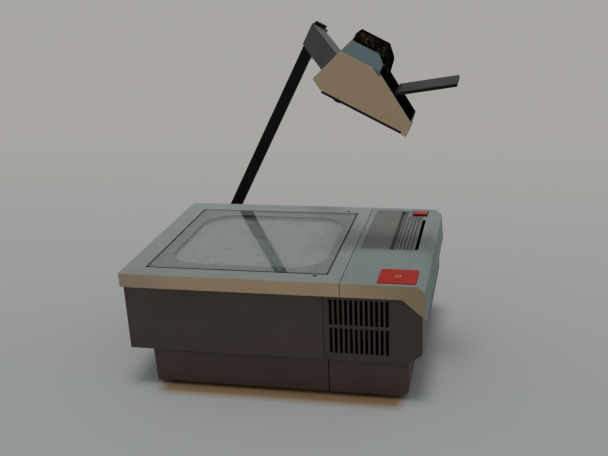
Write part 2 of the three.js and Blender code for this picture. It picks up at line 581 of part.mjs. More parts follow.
function makeRockerBox() {
  const t = rockerBox.wall;
  const g = rocker.gap + seat;
  const x0 = along(rocker.left) - g;
  const x1 = along(rocker.left) + rocker.width + g;
  const y0 = across(rocker.near) - g;
  const y1 = across(rocker.near) + rocker.depth + g;
  const top = lidTop - cover.wall - seat;
  const bottom = lidTop - rockerBox.drop;
  const shell = block(x0 - t, x1 + t, y0 - t, y1 + t, bottom, top).subtract(block(x0, x1, y0, y1, bottom + t, top + overrun));
  const [y, z] = rockerPivot();
  return shell.subtract(rod('x', rocker.pin + seat, x0 - t / 2, x1 + t / 2, [y, z], smallSides));
}

// Lamp bay: tray, reflector, lamp in its holder, and the condenser plate over the housing's floor opening
function makeLampTray() {
  const halfW = tray.width / 2;
  const halfD = tray.depth / 2;
  const z0 = baseFloor + seat;
  const outer = block(lampX - halfW, lampX + halfW, -halfD, halfD, z0, z0 + tray.lip);
  const room = block(lampX - halfW + tray.thick, lampX + halfW - tray.thick, -halfD - overrun, halfD + overrun, z0 + tray.thick, z0 + tray.lip + overrun);
  return outer.subtract(room);
}

function makeReflector() {
  const z0 = baseFloor + seat + tray.thick + seat;
  const steps = 5;
  const inner = [];
  const outer = [];
  for (let i = 0; i <= steps; i += 1) {
    const share = i / steps;
    const z = z0 + reflector.thick + reflector.depth * share * share;
    inner.push([reflector.radius * share, z]);
    outer.push([(reflector.radius + reflector.thick) * share, z - reflector.thick]);
  }
  const dish = turned([...outer, ...inner.reverse()], [lampX, 0]);
  const ring = rod('z', reflector.foot, z0, z0 + reflector.thick * 2, [lampX, 0], smallSides);
  const scoop = turned([[0, z0 + reflector.thick], [reflector.foot, z0 + reflector.thick], [reflector.foot, z0 + reflector.depth], [0, z0 + reflector.depth]], [lampX, 0]);
  return dish.add(ring.subtract(scoop));
}

function lampHeight() {
  return baseFloor + lamp.height + tray.thick;
}

function makeLamp() {
  const z = lampHeight();
  const profile = [];
  const steps = 6;
  for (let i = 0; i <= steps; i += 1) {
    const turn = (Math.PI / 2) * (i / steps);
    profile.push([lamp.radius * Math.sin(turn), -lamp.length + lamp.radius * (1 - Math.cos(turn))]);
  }
  profile.push([lamp.radius, -lamp.radius / 2], [lamp.pinch, 0], [lamp.pinch, lamp.pinchLength], [0, lamp.pinchLength]);
  return turned(profile, [0, 0], 20).rotate([0, 90, 0]).translate([lampX + lamp.length / 2, 0, z]);
}

function makeLampHolder() {
  const x0 = lampX + lamp.length / 2 + seat;
  const halfW = lampHolder.width / 2;
  const z0 = baseFloor + seat + tray.thick + seat;
  const legX = lampX + reflector.radius + reflector.thick + overrun;
  const foot0 = block(legX, legX + lampHolder.length / 2, -halfW, halfW, z0, z0 + lampHolder.height);
  const nose0 = block(x0, legX + lampHolder.length / 2, -halfW / 2, halfW / 2, lampHeight() - lampHolder.bore - overrun, z0 + lampHolder.height);
  const bore = rod('x', lamp.pinch + seat, x0 - overrun, x0 + lamp.pinchLength + seat, [0, lampHeight()], smallSides);
  return foot0.add(nose0).subtract(bore);
}

function makeCondenserPlate() {
  const z0 = housingFloor + seat;
  const plate = block(lampX - condenser.plate / 2, lampX + condenser.plate / 2, -condenser.plateDepth / 2, condenser.plateDepth / 2, z0, z0 + condenser.plateThick);
  const ring = rod('z', condenser.radius + condenser.ringWidth, z0, z0 + condenser.ringHeight, [lampX, 0]);
  const ledge = rod('z', condenser.radius - condenser.edge, z0 - overrun, z0 + condenser.ringHeight + overrun, [lampX, 0]);
  const bed = rod('z', condenser.radius + seat, z0 + condenser.plateThick, z0 + condenser.ringHeight + overrun, [lampX, 0]);
  return plate.add(ring).subtract(ledge).subtract(bed);
}

function makeCondenser() {
  const z0 = housingFloor + seat + condenser.plateThick + seat;
  const rings = 4;
  const profile = [[0, z0], [condenser.radius, z0]];
  for (let i = 0; i <= rings; i += 1) {
    const share = 1 - i / rings;
    profile.push([condenser.radius * share, z0 + condenser.edge + condenser.bulge * (1 - share * share)]);
  }
  return turned(profile, [lampX, 0]);
}

function makeHeatShield() {
  const x = along(shield.place);
  const z = down(shield.holeDrop);
  const body = block(x, x + shield.thick, -shield.depth / 2, shield.depth / 2, housingFloor + seat, down(shield.drop));
  const foot0 = block(x, x + shield.drop, -shield.depth / 2, shield.depth / 2, housingFloor + seat, housingFloor + seat + shield.thick);
  return body.add(foot0).subtract(rod('x', shield.hole, x - overrun, x + shield.thick + overrun, [0, z]));
}

// Fan behind the louvres: square frame, rotor and its mount on struts
function fanPlaces() {
  const y0 = -housingSide + housing.wall + seat;
  return { x: along(fan.place), z: housingFloor + seat + fan.size / 2, y0, y1: y0 + fan.thick };
}

function makeFanFrame() {
  const { x, z, y0, y1 } = fanPlaces();
  const half = fan.size / 2;
  let body = prismY(roundedRect(x - half, x + half, z - half, z + half, fan.strut), y0, y1);
  body = body.subtract(rod('y', fan.bore, y0 - overrun, y1 + overrun, [x, z]));
  body = body.add(rod('y', fan.mount, y1 - fan.mountThick, y1, [x, z]));
  const reach = (fan.bore + fan.mount) / 2;
  for (let i = 0; i < 4; i += 1) {
    const strut = block(-reach / 2 - fan.strut, reach / 2 + fan.strut, y1 - fan.mountThick, y1, -fan.strut / 2, fan.strut / 2);
    body = body.add(strut.translate([reach, 0, 0]).rotate([0, 45 + 90 * i, 0]).translate([x, 0, z]));
  }
  return body;
}

function makeFanRotor() {
  const { y0, y1 } = fanPlaces();
  const { x, z } = fanPlaces();
  const hubY0 = y1 - fan.mountThick - seat - fan.hubDepth;
  const hub = rod('y', fan.hub, hubY0, hubY0 + fan.hubDepth, [0, 0]);
  const cup = rod('y', fan.hub - fan.hubWall, hubY0 + fan.hubWall, hubY0 + fan.hubDepth - fan.hubWall, [0, 0]);
  const throat = rod('y', fan.hub / 4, hubY0 + fan.hubDepth / 2, hubY0 + fan.hubDepth + overrun, [0, 0], smallSides);
  const blades = [];
  const tip = fan.bore - fanBlade.tipGap;
  const middle = (y0 + y1 - fan.mountThick) / 2;
  for (let i = 0; i < fanBlade.count; i += 1) {
    const length = tip - fan.hub + fan.hubWall / 2;
    const blade = block(0, length, -fanBlade.width / 2, fanBlade.width / 2, -fanBlade.thick / 2, fanBlade.thick / 2);
    const pitched = blade.rotate([fanBlade.pitchAngle, 0, 0]).translate([fan.hub - fan.hubWall / 2, middle, 0]);
    blades.push(pitched.rotate([0, (360 / fanBlade.count) * i, 0]));
  }
  const sweep = rod('y', tip, y0 - overrun, y1 + overrun, [0, 0]);
  return joined([hub, ...blades]).intersect(sweep).subtract(cup).subtract(throat).translate([x, 0, z]);
}

function makeTransformerCore() {
  const x = along(transformer.place);
  const y = transformer.depthPlace;
  const z0 = baseFloor + seat;
  const core = block(x - transformer.width / 2, x + transformer.width / 2, y - transformer.depth / 2, y + transformer.depth / 2, z0, z0 + transformer.height);
  const w = transformer.coilWidth / 2 + transformer.clip + seat;
  const window = block(x - w, x + w, y - transformer.depth, y + transformer.depth, z0 + transformer.clip * 2, z0 + transformer.height - transformer.clip * 2);
  const limb = block(x - transformer.clip, x + transformer.clip, y - transformer.depth / 2, y + transformer.depth / 2, z0, z0 + transformer.height);
  return core.subtract(window).add(limb);
}

function makeTransformerCoil() {
  const x = along(transformer.place);
  const y = transformer.depthPlace;
  const z0 = baseFloor + seat;
  const low = z0 + transformer.clip * 2 + seat;
  const high = z0 + transformer.height - transformer.clip * 2 - seat;
  const outer = prismZ(roundedRect(x - transformer.coilWidth / 2 - transformer.clip, x + transformer.coilWidth / 2 + transformer.clip,
    y - transformer.coilDepth / 2, y + transformer.coilDepth / 2, transformer.clip * 3), low, high);
  const halfLimb = transformer.clip + seat;
  return outer.subtract(block(x - halfLimb, x + halfLimb, y - transformer.depth / 2 - seat, y + transformer.depth / 2 + seat, low - overrun, high + overrun));
}

// Mains inlet in the far wall of the base
function makeInlet() {
  const x = along(inlet.place);
  const z = down(inlet.drop);
  const y1 = baseSide + seat + inlet.flangeThick;
  const w = inlet.width / 2;
  const h = inlet.height / 2;
  const t = inlet.wallThick;
  const flange = prismY(roundedRect(x - w - inlet.flange, x + w + inlet.flange, z - h - t, z + h + t, t), baseSide + seat, y1);
  const body = block(x - w, x + w, y1 - inlet.depth, y1, z - h, z + h);
  const mouth = block(x - w + t, x + w - t, y1 - inlet.well, y1 + overrun, z - h + t, z + h - t);
  const pins = [];
  for (let i = 0; i < inlet.pinCount; i += 1) {
    const px = x + (i - (inlet.pinCount - 1) / 2) * inlet.pinPitch;
    pins.push(block(px - inlet.pinSize / 2, px + inlet.pinSize / 2, y1 - inlet.well - t / 2, y1 - inlet.wallThick, z - inlet.pinSize, z + inlet.pinSize));
  }
  return joined([flange.add(body).subtract(mouth), ...pins]);
}

// Arm bracket on the far side of the housing, with the bolt, washers and clamp knob of the pivot
function pivotPlace() {
  return [along(arm.pivotX), down(arm.pivotDrop)];
}

function makeArmBracket() {
  const [x, z] = pivotPlace();
  const y0 = housingSide + seat;
  const halfH = armBracket.height / 2;
  const left = x - armBracket.boss - armBracket.corner / 2;
  const plate = prismY(roundedRect(left, left + armBracket.width, z - halfH, z + halfH, armBracket.corner), y0, y0 + armBracket.plate);
  const bossEnd = armNear - armWasher.thick - 2 * seat;
  const cone = new THREE.CylinderGeometry(armBracket.bossSmall, armBracket.boss, bossEnd - y0, roundSides);
  const boss = solid(cone.translate(x, (bossEnd + y0) / 2, z));
  return plate.add(boss).subtract(rod('y', arm.bolt + seat, y0 - overrun, bossEnd + overrun, [x, z], smallSides));
}

function makePivotBolt() {
  const [x, z] = pivotPlace();
  const inner = housingSide - housing.wall - seat;
  const shaft = rod('y', arm.bolt, inner - armKnob.head / 2, armFar + armWasher.thick + armKnob.thick, [x, z], 24);
  return shaft.add(rod('y', arm.bolt * arm.nutShare, inner - armKnob.head, inner, [x, z], 6));
}

function makeWasher(y0) {
  const [x, z] = pivotPlace();
  const outer = rod('y', armWasher.radius, y0, y0 + armWasher.thick, [x, z]);
  return outer.subtract(rod('y', arm.bolt + seat, y0 - overrun, y0 + armWasher.thick + overrun, [x, z], 24));
}

function makeClampKnob() {
  const [x, z] = pivotPlace();
  const y0 = armFar + armWasher.thick + 2 * seat;
  const outline = lobedOutline(armKnob.radius, armKnob.lobes, armKnob.lobeDepth, 6);
  const body = prismY(outline, y0, y0 + armKnob.thick).translate([x, 0, z]);
  return body.subtract(rod('y', arm.bolt + seat, y0 - overrun, armFar + armWasher.thick + armKnob.thick + seat, [x, z], 24));
}

// A round outline with even lobes, for knobs
function lobedOutline(radius, lobes, depth, perLobe) {
  const points = [];
  const count = lobes * perLobe;
  for (let i = 0; i < count; i += 1) {
    const turn = (2 * Math.PI * i) / count;
    const r = radius - depth / 2 + (depth / 2) * Math.cos(lobes * turn);
    points.push([r * Math.cos(turn), r * Math.sin(turn)]);
  }
  return points;
}

// Arm bar, upright in its own frame, with the pivot at its origin
function makeArmBar() {
  const half = arm.width / 2;
  const bar = block(-half, half, armNear, armFar, 0, arm.topEnd);
  const foot0 = rod('y', arm.foot, armNear, armFar, [0, 0]);
  return bar.add(foot0).subtract(rod('y', arm.bolt + seat, armNear - overrun, armFar + overrun, [0, 0], 24));
}

// Rack and pinion with straight-sided teeth, in mesh at rest
function makeRack() {
  const m = drive.module;
  const pitch = Math.PI * m;
  const bottom = rackBottom;
  const rootA = rackFace;
  const tipA = pitchLine + m * drive.addendumShare;
  const backA = arm.width / 2 + seat;
  const count = Math.floor((arm.topEnd - bottom) / pitch);
  const first = pinionZ - Math.floor((pinionZ - bottom) / pitch) * pitch;
  const points = [[backA, bottom - pitch / 2]];
  points.push([rootA, bottom - pitch / 2]);
  for (let i = 0; i < count; i += 1) {
    const z = first + i * pitch;
    if (z + pitch / 2 > arm.topEnd) break;
    const root = pitch * drive.toothShare / 2 + m * drive.topShare;
    const tip = pitch * drive.toothShare / 2 - m * drive.topShare;
    points.push([rootA, z - root], [tipA, z - tip], [tipA, z + tip], [rootA, z + root]);
  }
  points.push([rootA, arm.topEnd], [backA, arm.topEnd]);
  return prismY(points, armPlane - drive.width / 2, armPlane + drive.width / 2);
}

function makePinion() {
  const m = drive.module;
  const root = pitchRadius - m * drive.dedendumShare;
  const step = (2 * Math.PI) / drive.teeth;
  const points = [];
  for (let i = 0; i < drive.teeth; i += 1) {
    const mid = Math.PI + (i + 0.5) * step;
    const rootHalf = (Math.PI * m * drive.toothShare / 2 + m * drive.topShare) / root;
    const tipHalf = (Math.PI * m * drive.toothShare / 2 - m * drive.topShare) / pinionTip;
    for (const [r, turn] of [[root, mid - rootHalf], [pinionTip, mid - tipHalf], [pinionTip, mid + tipHalf], [root, mid + rootHalf]]) {
      points.push([r * Math.cos(turn), r * Math.sin(turn)]);
    }
  }
  const wheel = prismY(points, armPlane - drive.width / 2, armPlane + drive.width / 2).translate([pinionA, 0, pinionZ]);
  const near = armPlane - drive.width / 2 - drive.shaftEnd;
  const shaft = rod('y', drive.shaft, near, sleeveFar + seat + focusKnob.bore, [pinionA, pinionZ], 20);
  return wheel.add(shaft);
}

function makeFocusKnob() {
  const y0 = sleeveFar + 2 * seat;
  const outline = lobedOutline(focusKnob.radius, focusKnob.ribs, focusKnob.ribDepth, 4);
  const body = prismY(outline, y0, y0 + focusKnob.thick).translate([pinionA, 0, pinionZ]);
  return body.subtract(rod('y', drive.shaft + seat, y0 - overrun, sleeveFar + focusKnob.bore + 3 * seat, [pinionA, pinionZ], 20));
}

// Carriage: sleeve, drive block and the diagonal beam that reaches the head's far side
function makeCarriage() {
  const z0 = carriageBottom;
  const left = -arm.width / 2 - carriage.slack - carriage.wall;
  const rackSide = pitchLine + drive.module * drive.addendumShare + seat;
  const sleeve = block(left, rackSide + carriage.wall, sleeveNear, sleeveFar, z0, carriageTop);
  const driveBlock = block(0, carriage.driveSide, sleeveNear, sleeveFar, z0, z0 + drive.blockHeight);
  const headSide = headFar + seat;
  const inSleeve = sleeveNear + carriage.wall / 2;
  const beam = prismZ([[carriage.beamEnd, headSide], [carriage.beamEnd + carriage.beamWidth, headSide],
    [left + carriage.beamWidth, inSleeve], [left, inSleeve]], z0, carriageTop);
  const flangeLeft = carriage.beamEnd - carriage.flangeThick;
  const flange = block(flangeLeft, flangeLeft + carriage.flange, headSide, headSide + carriage.flangeThick, headBottom + head.wall, carriageTop);
  const half = arm.width / 2 + carriage.slack;
  const slot = block(-half, half, armNear - carriage.slack, armFar + carriage.slack, z0 - overrun, carriageTop + overrun);
  const rackWay = block(0, rackSide, armPlane - drive.width / 2 - seat, armPlane + drive.width / 2 + seat,
    z0 - overrun, carriageTop + overrun);
  const centre = [pinionA, pinionZ];
  const wheelRoom = rod('y', pinionTip + seat, armPlane - drive.width / 2 - seat, armPlane + drive.width / 2 + seat, centre);
  const bore = rod('y', drive.shaft + seat, armPlane - drive.width / 2 - drive.shaftEnd - seat, sleeveFar + overrun, centre, 20);
  return joined([sleeve, driveBlock, beam, flange]).subtract(joined([slot, rackWay, wheelRoom, bore]));
}

function makeCarriageCap() {
  const z0 = carriageTop + seat;
  const outline = roundedRect(-carriageCap.left, carriageCap.right, z0, z0 + carriageCap.thick, [0, carriageCap.inset, carriageCap.inset, carriageCap.inset]);
  return prismY(outline, sleeveNear + carriageCap.inset, sleeveFar);
}

// Head outline seen from the side, in the arm's frame, counter-clockwise
function headOutline() {
  const b = headBottom;
  return [[head.tipA, b + head.tipRise], [head.floorStart, b], [head.noseA, b], [head.noseTopA, b + head.noseRise],
    [head.mouthTopA, b + head.mouthTopRise], [head.browA, b + head.browRise], [head.crestA, b + head.topRise], [head.backA, b + head.topRise]];
}

function bevelOutline() {
  const low = headBottom - head.lipDrop;
  const top = headBottom + head.topRise;
  const knee = headBottom + head.bevelRise;
  return [[head.near, low], [headFar, low], [headFar, knee], [headFar - head.bevelInset, top], [head.near + head.bevelInset, top], [head.near, knee]];
}

// Places on the slanted mouth: distance down the slope and height off it
const mouthLength = Math.hypot(head.noseTopA - head.mouthTopA, head.mouthTopRise - head.noseRise);
const mouthDown = [(head.noseTopA - head.mouthTopA) / mouthLength, -(head.mouthTopRise - head.noseRise) / mouthLength];
const mouthOut = [-mouthDown[1], mouthDown[0]];
function mouthPoint(slope, out) {
  return [head.mouthTopA + mouthDown[0] * slope + mouthOut[0] * out, headBottom + head.mouthTopRise + mouthDown[1] * slope + mouthOut[1] * out];
}

function mouthSlab(start, end, low, high) {
  return [mouthPoint(start, low), mouthPoint(end, low), mouthPoint(end, high), mouthPoint(start, high)];
}

// Head shell: open below, with a pocket in the slanted face where the dark mouth plate lies flush
function makeHeadShell() {
  const wall = head.wall;
  const deep = wall + bezel.thick + seat;
  const walls = [wall, wall, wall, deep, wall, wall, wall, wall];
  const sides = head.depth / 2 - wall;
  const innerSide = inset(headOutline(), walls);
  innerSide[1][1] = headBottom - head.lipDrop - overrun;
  innerSide[2][1] = headBottom - head.lipDrop - overrun;
  const innerBevel = inset(bevelOutline(), wall);
  innerBevel[0][1] = headBottom - head.lipDrop - overrun;
  innerBevel[1][1] = headBottom - head.lipDrop - overrun;
  const lipLow = headBottom - head.lipDrop;
  const lip = [[head.noseA - head.lip, lipLow], [head.noseA, lipLow], [head.noseA, headBottom + wall], [head.noseA - head.lip, headBottom + wall]];
  const outer = prismY(headOutline(), head.near, headFar).add(prismY(lip, head.near, headFar)).intersect(prismX(bevelOutline(), 0, head.noseA + overrun));
  const room = prismY(innerSide, head.near, headFar).intersect(prismX(innerBevel, 0, head.noseA));
  const pocket = mouthSlab(bezel.start - seat, bezel.end + seat, -bezel.thick - seat, overrun);
  const hole = mouthSlab(bezel.holeStart, bezel.holeEnd, -deep - overrun, overrun);
  const holeHalf = head.depth / 2 - bezel.holeSide;
  return outer.subtract(room).subtract(prismY(pocket, -sides, sides)).subtract(prismY(hole, -holeHalf, holeHalf));
}

// Dark mouth plate with the light opening in its lower half and two ears for the flap
function makeBezel() {
  const half = head.depth / 2 - bezel.side;
  const holeHalf = head.depth / 2 - bezel.holeSide;
  let body = prismY(mouthSlab(bezel.start, bezel.end, -bezel.thick, 0), -half, half);
  body = body.subtract(prismY(mouthSlab(bezel.holeStart, bezel.holeEnd, -bezel.thick - overrun, overrun), -holeHalf, holeHalf));
  const hinge = mouthPoint(flap.place, flap.raise);
  for (const side of [-1, 1]) {
    const low = side * flap.earPlace - flap.ear / 2;
    body = body.add(rod('y', flap.barrel, low, low + flap.ear, hinge, 20));
    body = body.add(prismY(mouthSlab(flap.place - flap.barrel, flap.place + flap.barrel, -bezel.thick / 2, flap.raise), low, low + flap.ear));
    body = body.subtract(rod('y', flap.pin + seat, low - overrun, low + flap.ear + overrun, hinge, smallSides));
  }
  return body;
}

// Glossy cap over the crest of the head, its ends sloped in, its front run down onto the slanted face
function makeHeadCap() {
  const b = headBottom;
  const top = b + head.topRise + seat;
  const crown = b + head.topRise + cap.rise;
  const outline = [[head.backA + cap.back, top], [head.crestA + seat, top], [head.browA + seat, b + head.browRise + seat],
    [head.mouthTopA + 2 * seat, b + head.mouthTopRise + seat], [cap.tipA, mouthPoint((cap.tipA - head.mouthTopA) / mouthDown[0], 2 * seat)[1]],
    [cap.tipA, b + cap.tipRise], [cap.faceA, b + cap.faceRise], [cap.topFront, crown], [head.backA + cap.backTop, crown],
    [head.backA + cap.back, b + head.topRise + cap.backRise]];
  const low = b + head.bevelRise - head.wall - cap.rise;
  const ends = [[-cap.half, low], [cap.half, low], [cap.half, top], [cap.topHalf, crown], [-cap.topHalf, crown], [-cap.half, top]];
  return prismY(outline, -cap.half, cap.half).intersect(prismX(ends, head.backA - overrun, cap.tipA + overrun));
}

function makeHeadPlate() {
  const top = headBottom - seat;
  const x0 = head.floorStart + headPlate.inset;
  const x1 = head.noseA - head.lip - seat;
  const y0 = head.near + headPlate.inset / 2;
  const plate = prismZ(roundedRect(x0, x1, y0, -y0, headPlate.inset), top - headPlate.thick, top);
  return plate.subtract(rod('z', headPlate.lensHole, top - headPlate.thick - overrun, top + overrun, [barrel.place, 0]));
}

function makeHeadLatch() {
  const top = headBottom - 2 * seat - headPlate.thick;
  return rod('z', headLatch.radius, top - headLatch.height, top, [headLatch.place, headLatch.side], 20);
}

function makeLensBarrel() {
  const z0 = headBottom;
  const z1 = z0 + barrel.height;
  const outer = rod('z', barrel.radius, z0, z1, [barrel.place, 0]);
  const bore = rod('z', barrel.bore, z0 + barrel.lipHeight, z1 + overrun, [barrel.place, 0]);
  const eye = rod('z', barrel.bore - barrel.lipWidth, z0 - overrun, z1, [barrel.place, 0]);
  return outer.subtract(bore).subtract(eye);
}

function lensMiddle(index) {
  const lensHeight = lens.edge + 2 * lens.bulge;
  return headBottom + barrel.lipHeight + seat + lens.edge / 2 + lens.bulge + index * (lensHeight + lens.gap);
}

function makeLens(index) {
  return lensBody(lens.radius, lens.edge, lens.bulge, lensMiddle(index), [barrel.place, 0]);
}

// Spacer ring between the two lenses
function makeLensSpacer() {
  const low = lensMiddle(0) + lens.edge / 2 + seat;
  const high = lensMiddle(1) - lens.edge / 2 - seat;
  const ring = rod('z', barrel.bore - seat, low, high, [barrel.place, 0]);
  return ring.subtract(rod('z', barrel.bore - barrel.lipWidth, low - overrun, high + overrun, [barrel.place, 0]));
}

// Mirror under the cap, and its folded bracket up to the head's top wall
function mirrorPoint(slope, out) {
  const c = Math.cos(headMirror.tilt * degrees);
  const s = Math.sin(headMirror.tilt * degrees);
  return [headMirror.startA + c * slope - s * out, headBottom + headMirror.startRise + s * slope + c * out];
}

function makeHeadMirror() {
  const outline = [mirrorPoint(0, 0), mirrorPoint(headMirror.length, 0), mirrorPoint(headMirror.length, headMirror.thick), mirrorPoint(0, headMirror.thick)];
  return prismY(outline, -headMirror.width / 2, headMirror.width / 2);
}

function makeMirrorBracket() {
  const low = headMirror.thick + seat;
  const high = low + headMirror.backThick;
  const back = [mirrorPoint(0, low), mirrorPoint(headMirror.length, low), mirrorPoint(headMirror.length, high), mirrorPoint(0, high)];
  const ceiling = headBottom + head.topRise - head.wall - seat;
  const [legA, legZ] = mirrorPoint(headMirror.length * headMirror.legShare, high - headMirror.backThick / 2);
  const t = headMirror.legThick;
  const leg = [[legA - t / 2, legZ], [legA + t / 2, legZ], [legA + t / 2, ceiling], [legA - t / 2, ceiling]];
  const footLeft = legA - headMirror.footReach;
  const foot0 = [[footLeft, ceiling - t], [legA, ceiling - t], [legA, ceiling], [footLeft, ceiling]];
  const half = headMirror.width / 2 - overrun;
  const footHalf = head.depth / 2 - head.bevelInset - head.wall - overrun;
  return joined([prismY(back, -half, half), prismY(leg, -footHalf, footHalf), prismY(foot0, -footHalf, footHalf)]);
}

// Flap, laid out along its own length from the hinge line, then turned up to its rest angle
function placedOnHinge(body) {
  const [a, z] = mouthPoint(flap.place, flap.raise);
  return body.rotate([0, -flap.angle, 0]).translate([a, 0, z]);
}

function makeFlapFrame() {
  const half = flap.width / 2;
  const t = flap.thick / 2;
  const plate = block(0, flap.length, -half, half, -t, t).add(rod('y', flap.barrel, -half, half, [0, 0], 20));
  const recessCut = block(flap.barrel, flap.length + overrun, -half - overrun, half + overrun, t - flap.panelThick, t + overrun);
  const under = block(flap.barrel + flap.rim, flap.length - flap.rim, -half + flap.rim, half - flap.rim, -t - overrun, t - flap.panelThick - flap.skin);
  let body = plate.subtract(recessCut).subtract(under);
  for (let i = 1; i <= flap.ribCount; i += 1) {
    const y = -half + (flap.width * i) / (flap.ribCount + 1);
    body = body.add(block(flap.barrel, flap.length - flap.rim / 2, y - flap.rib / 2, y + flap.rib / 2, -t, t - flap.panelThick - flap.skin / 2));
  }
  for (const side of [-1, 1]) {
    const y = side * flap.earPlace;
    const reach = flap.ear / 2 + flap.earGap;
    body = body.subtract(block(-flap.barrel - overrun, flap.barrel + flap.earGap, y - reach, y + reach, -flap.barrel - overrun, flap.barrel + overrun));
  }
  return placedOnHinge(body.subtract(rod('y', flap.pin + seat, -half - overrun, half + overrun, [0, 0], smallSides)));
}

function makeFlapPanel() {
  const half = flap.width / 2 - flap.panelInset;
  const t = flap.thick / 2;
  return placedOnHinge(block(flap.barrel + flap.panelInset, flap.length - flap.panelInset, -half, half, t - flap.panelThick + seat, t));
}

function makeFlapPin() {
  const half = flap.earPlace + flap.ear;
  return rod('y', flap.pin, -half, half, mouthPoint(flap.place, flap.raise), smallSides);
}

// The assembled scene graph
const projector = new THREE.Group();
const leaning = new THREE.Group();
leaning.position.set(along(arm.pivotX), 0, down(arm.pivotDrop));
leaning.rotation.y = arm.lean * degrees;
projector.add(leaning);

function place(group, name, body, finish) {
  const mesh = new THREE.Mesh(geometryOf(body), new THREE.MeshStandardMaterial(finishes[finish]));
  mesh.name = name;
  group.add(mesh);
}

place(projector, 'stage_frame', makeStageFrame(), 'beige');
place(projector, 'stage_glass', makeGlass(), 'clearGlass');
place(projector, 'fresnel_lens', makeFresnel(), 'lensPlastic');
place(projector, 'lens_retainer', makeRetainer(), 'sheet');
const [nearScrew, farScrew] = lidScrewPlaces();
place(projector, 'lid_screw_near', makeLidScrew(nearScrew), 'steel');
place(projector, 'lid_screw_far', makeLidScrew(farScrew), 'steel');
place(projector, 'hinge_pin_near', makeHingePin(-lidHinge.spread), 'steel');
place(projector, 'hinge_pin_far', makeHingePin(lidHinge.spread), 'steel');
place(projector, 'left_housing', makeLeftHousing(), 'darkBrown');
place(projector, 'right_housing', makeRightHousing(), 'darkBrown');
place(projector, 'left_base', makeLeftBase(), 'darkBrown');
place(projector, 'right_base', makeRightBase(), 'darkBrown');
const footY = baseSide + base.sideInset - foot.sideInset;
place(projector, 'foot_near_left', makeFoot(along(foot.firstX), -footY), 'rubber');
place(projector, 'foot_near_right', makeFoot(along(foot.secondX), -footY), 'rubber');
place(projector, 'foot_far_left', makeFoot(along(foot.firstX), footY), 'rubber');
place(projector, 'foot_far_right', makeFoot(along(foot.secondX), footY), 'rubber');
place(projector, 'control_cover', makeControlCover(), 'beige');
place(projector, 'grip_well', makeGripWell(), 'wellGrey');
place(projector, 'power_pad', makePowerPad(), 'red');
place(projector, 'pad_switch', makePadSwitch(), 'black');
place(projector, 'rocker_button', makeRocker(), 'red');
place(projector, 'rocker_box', makeRockerBox(), 'black');
place(projector, 'lamp_tray', makeLampTray(), 'sheet');
place(projector, 'reflector', makeReflector(), 'mirror');
place(projector, 'lamp', makeLamp(), 'clearGlass');
place(projector, 'lamp_holder', makeLampHolder(), 'ceramic');
place(projector, 'condenser_plate', makeCondenserPlate(), 'sheet');
place(projector, 'condenser_lens', makeCondenser(), 'clearGlass');
place(projector, 'heat_shield', makeHeatShield(), 'sheet');
place(projector, 'fan_frame', makeFanFrame(), 'black');
place(projector, 'fan_rotor', makeFanRotor(), 'black');
place(projector, 'transformer_core', makeTransformerCore(), 'steel');
place(projector, 'transformer_coil', makeTransformerCoil(), 'copper');
place(projector, 'mains_inlet', makeInlet(), 'black');
place(projector, 'arm_bracket', makeArmBracket(), 'darkGrey');
place(projector, 'pivot_bolt', makePivotBolt(), 'steel');
place(projector, 'inner_washer', makeWasher(armNear - seat - armWasher.thick), 'brass');
place(projector, 'outer_washer', makeWasher(armFar + seat), 'brass');
place(projector, 'clamp_knob', makeClampKnob(), 'black');

place(leaning, 'arm_bar', makeArmBar(), 'armBlack');
place(leaning, 'focus_rack', makeRack(), 'steel');
place(leaning, 'carriage', makeCarriage(), 'darkGrey');
place(leaning, 'carriage_cap', makeCarriageCap(), 'black');
place(leaning, 'focus_pinion', makePinion(), 'brass');
place(leaning, 'focus_knob', makeFocusKnob(), 'black');
place(leaning, 'head_shell', makeHeadShell(), 'beige');
place(leaning, 'head_cap', makeHeadCap(), 'glossBlack');
place(leaning, 'mouth_bezel', makeBezel(), 'glossBlack');
place(leaning, 'head_plate', makeHeadPlate(), 'black');
place(leaning, 'head_latch', makeHeadLatch(), 'black');
place(leaning, 'lens_barrel', makeLensBarrel(), 'black');
place(leaning, 'lower_lens', makeLens(0), 'clearGlass');
place(leaning, 'lens_spacer', makeLensSpacer(), 'black');
place(leaning, 'upper_lens', makeLens(1), 'clearGlass');
place(leaning, 'head_mirror', makeHeadMirror(), 'mirror');
place(leaning, 'mirror_bracket', makeMirrorBracket(), 'sheet');
place(leaning, 'flap_frame', makeFlapFrame(), 'black');
place(leaning, 'flap_panel', makeFlapPanel(), 'paleGrey');
place(leaning, 'flap_pin', makeFlapPin(), 'steel');

export default projector;
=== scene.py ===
import json
import math

import bmesh
import bpy
from mathutils import Matrix, Vector
from mathutils.bvhtree import BVHTree

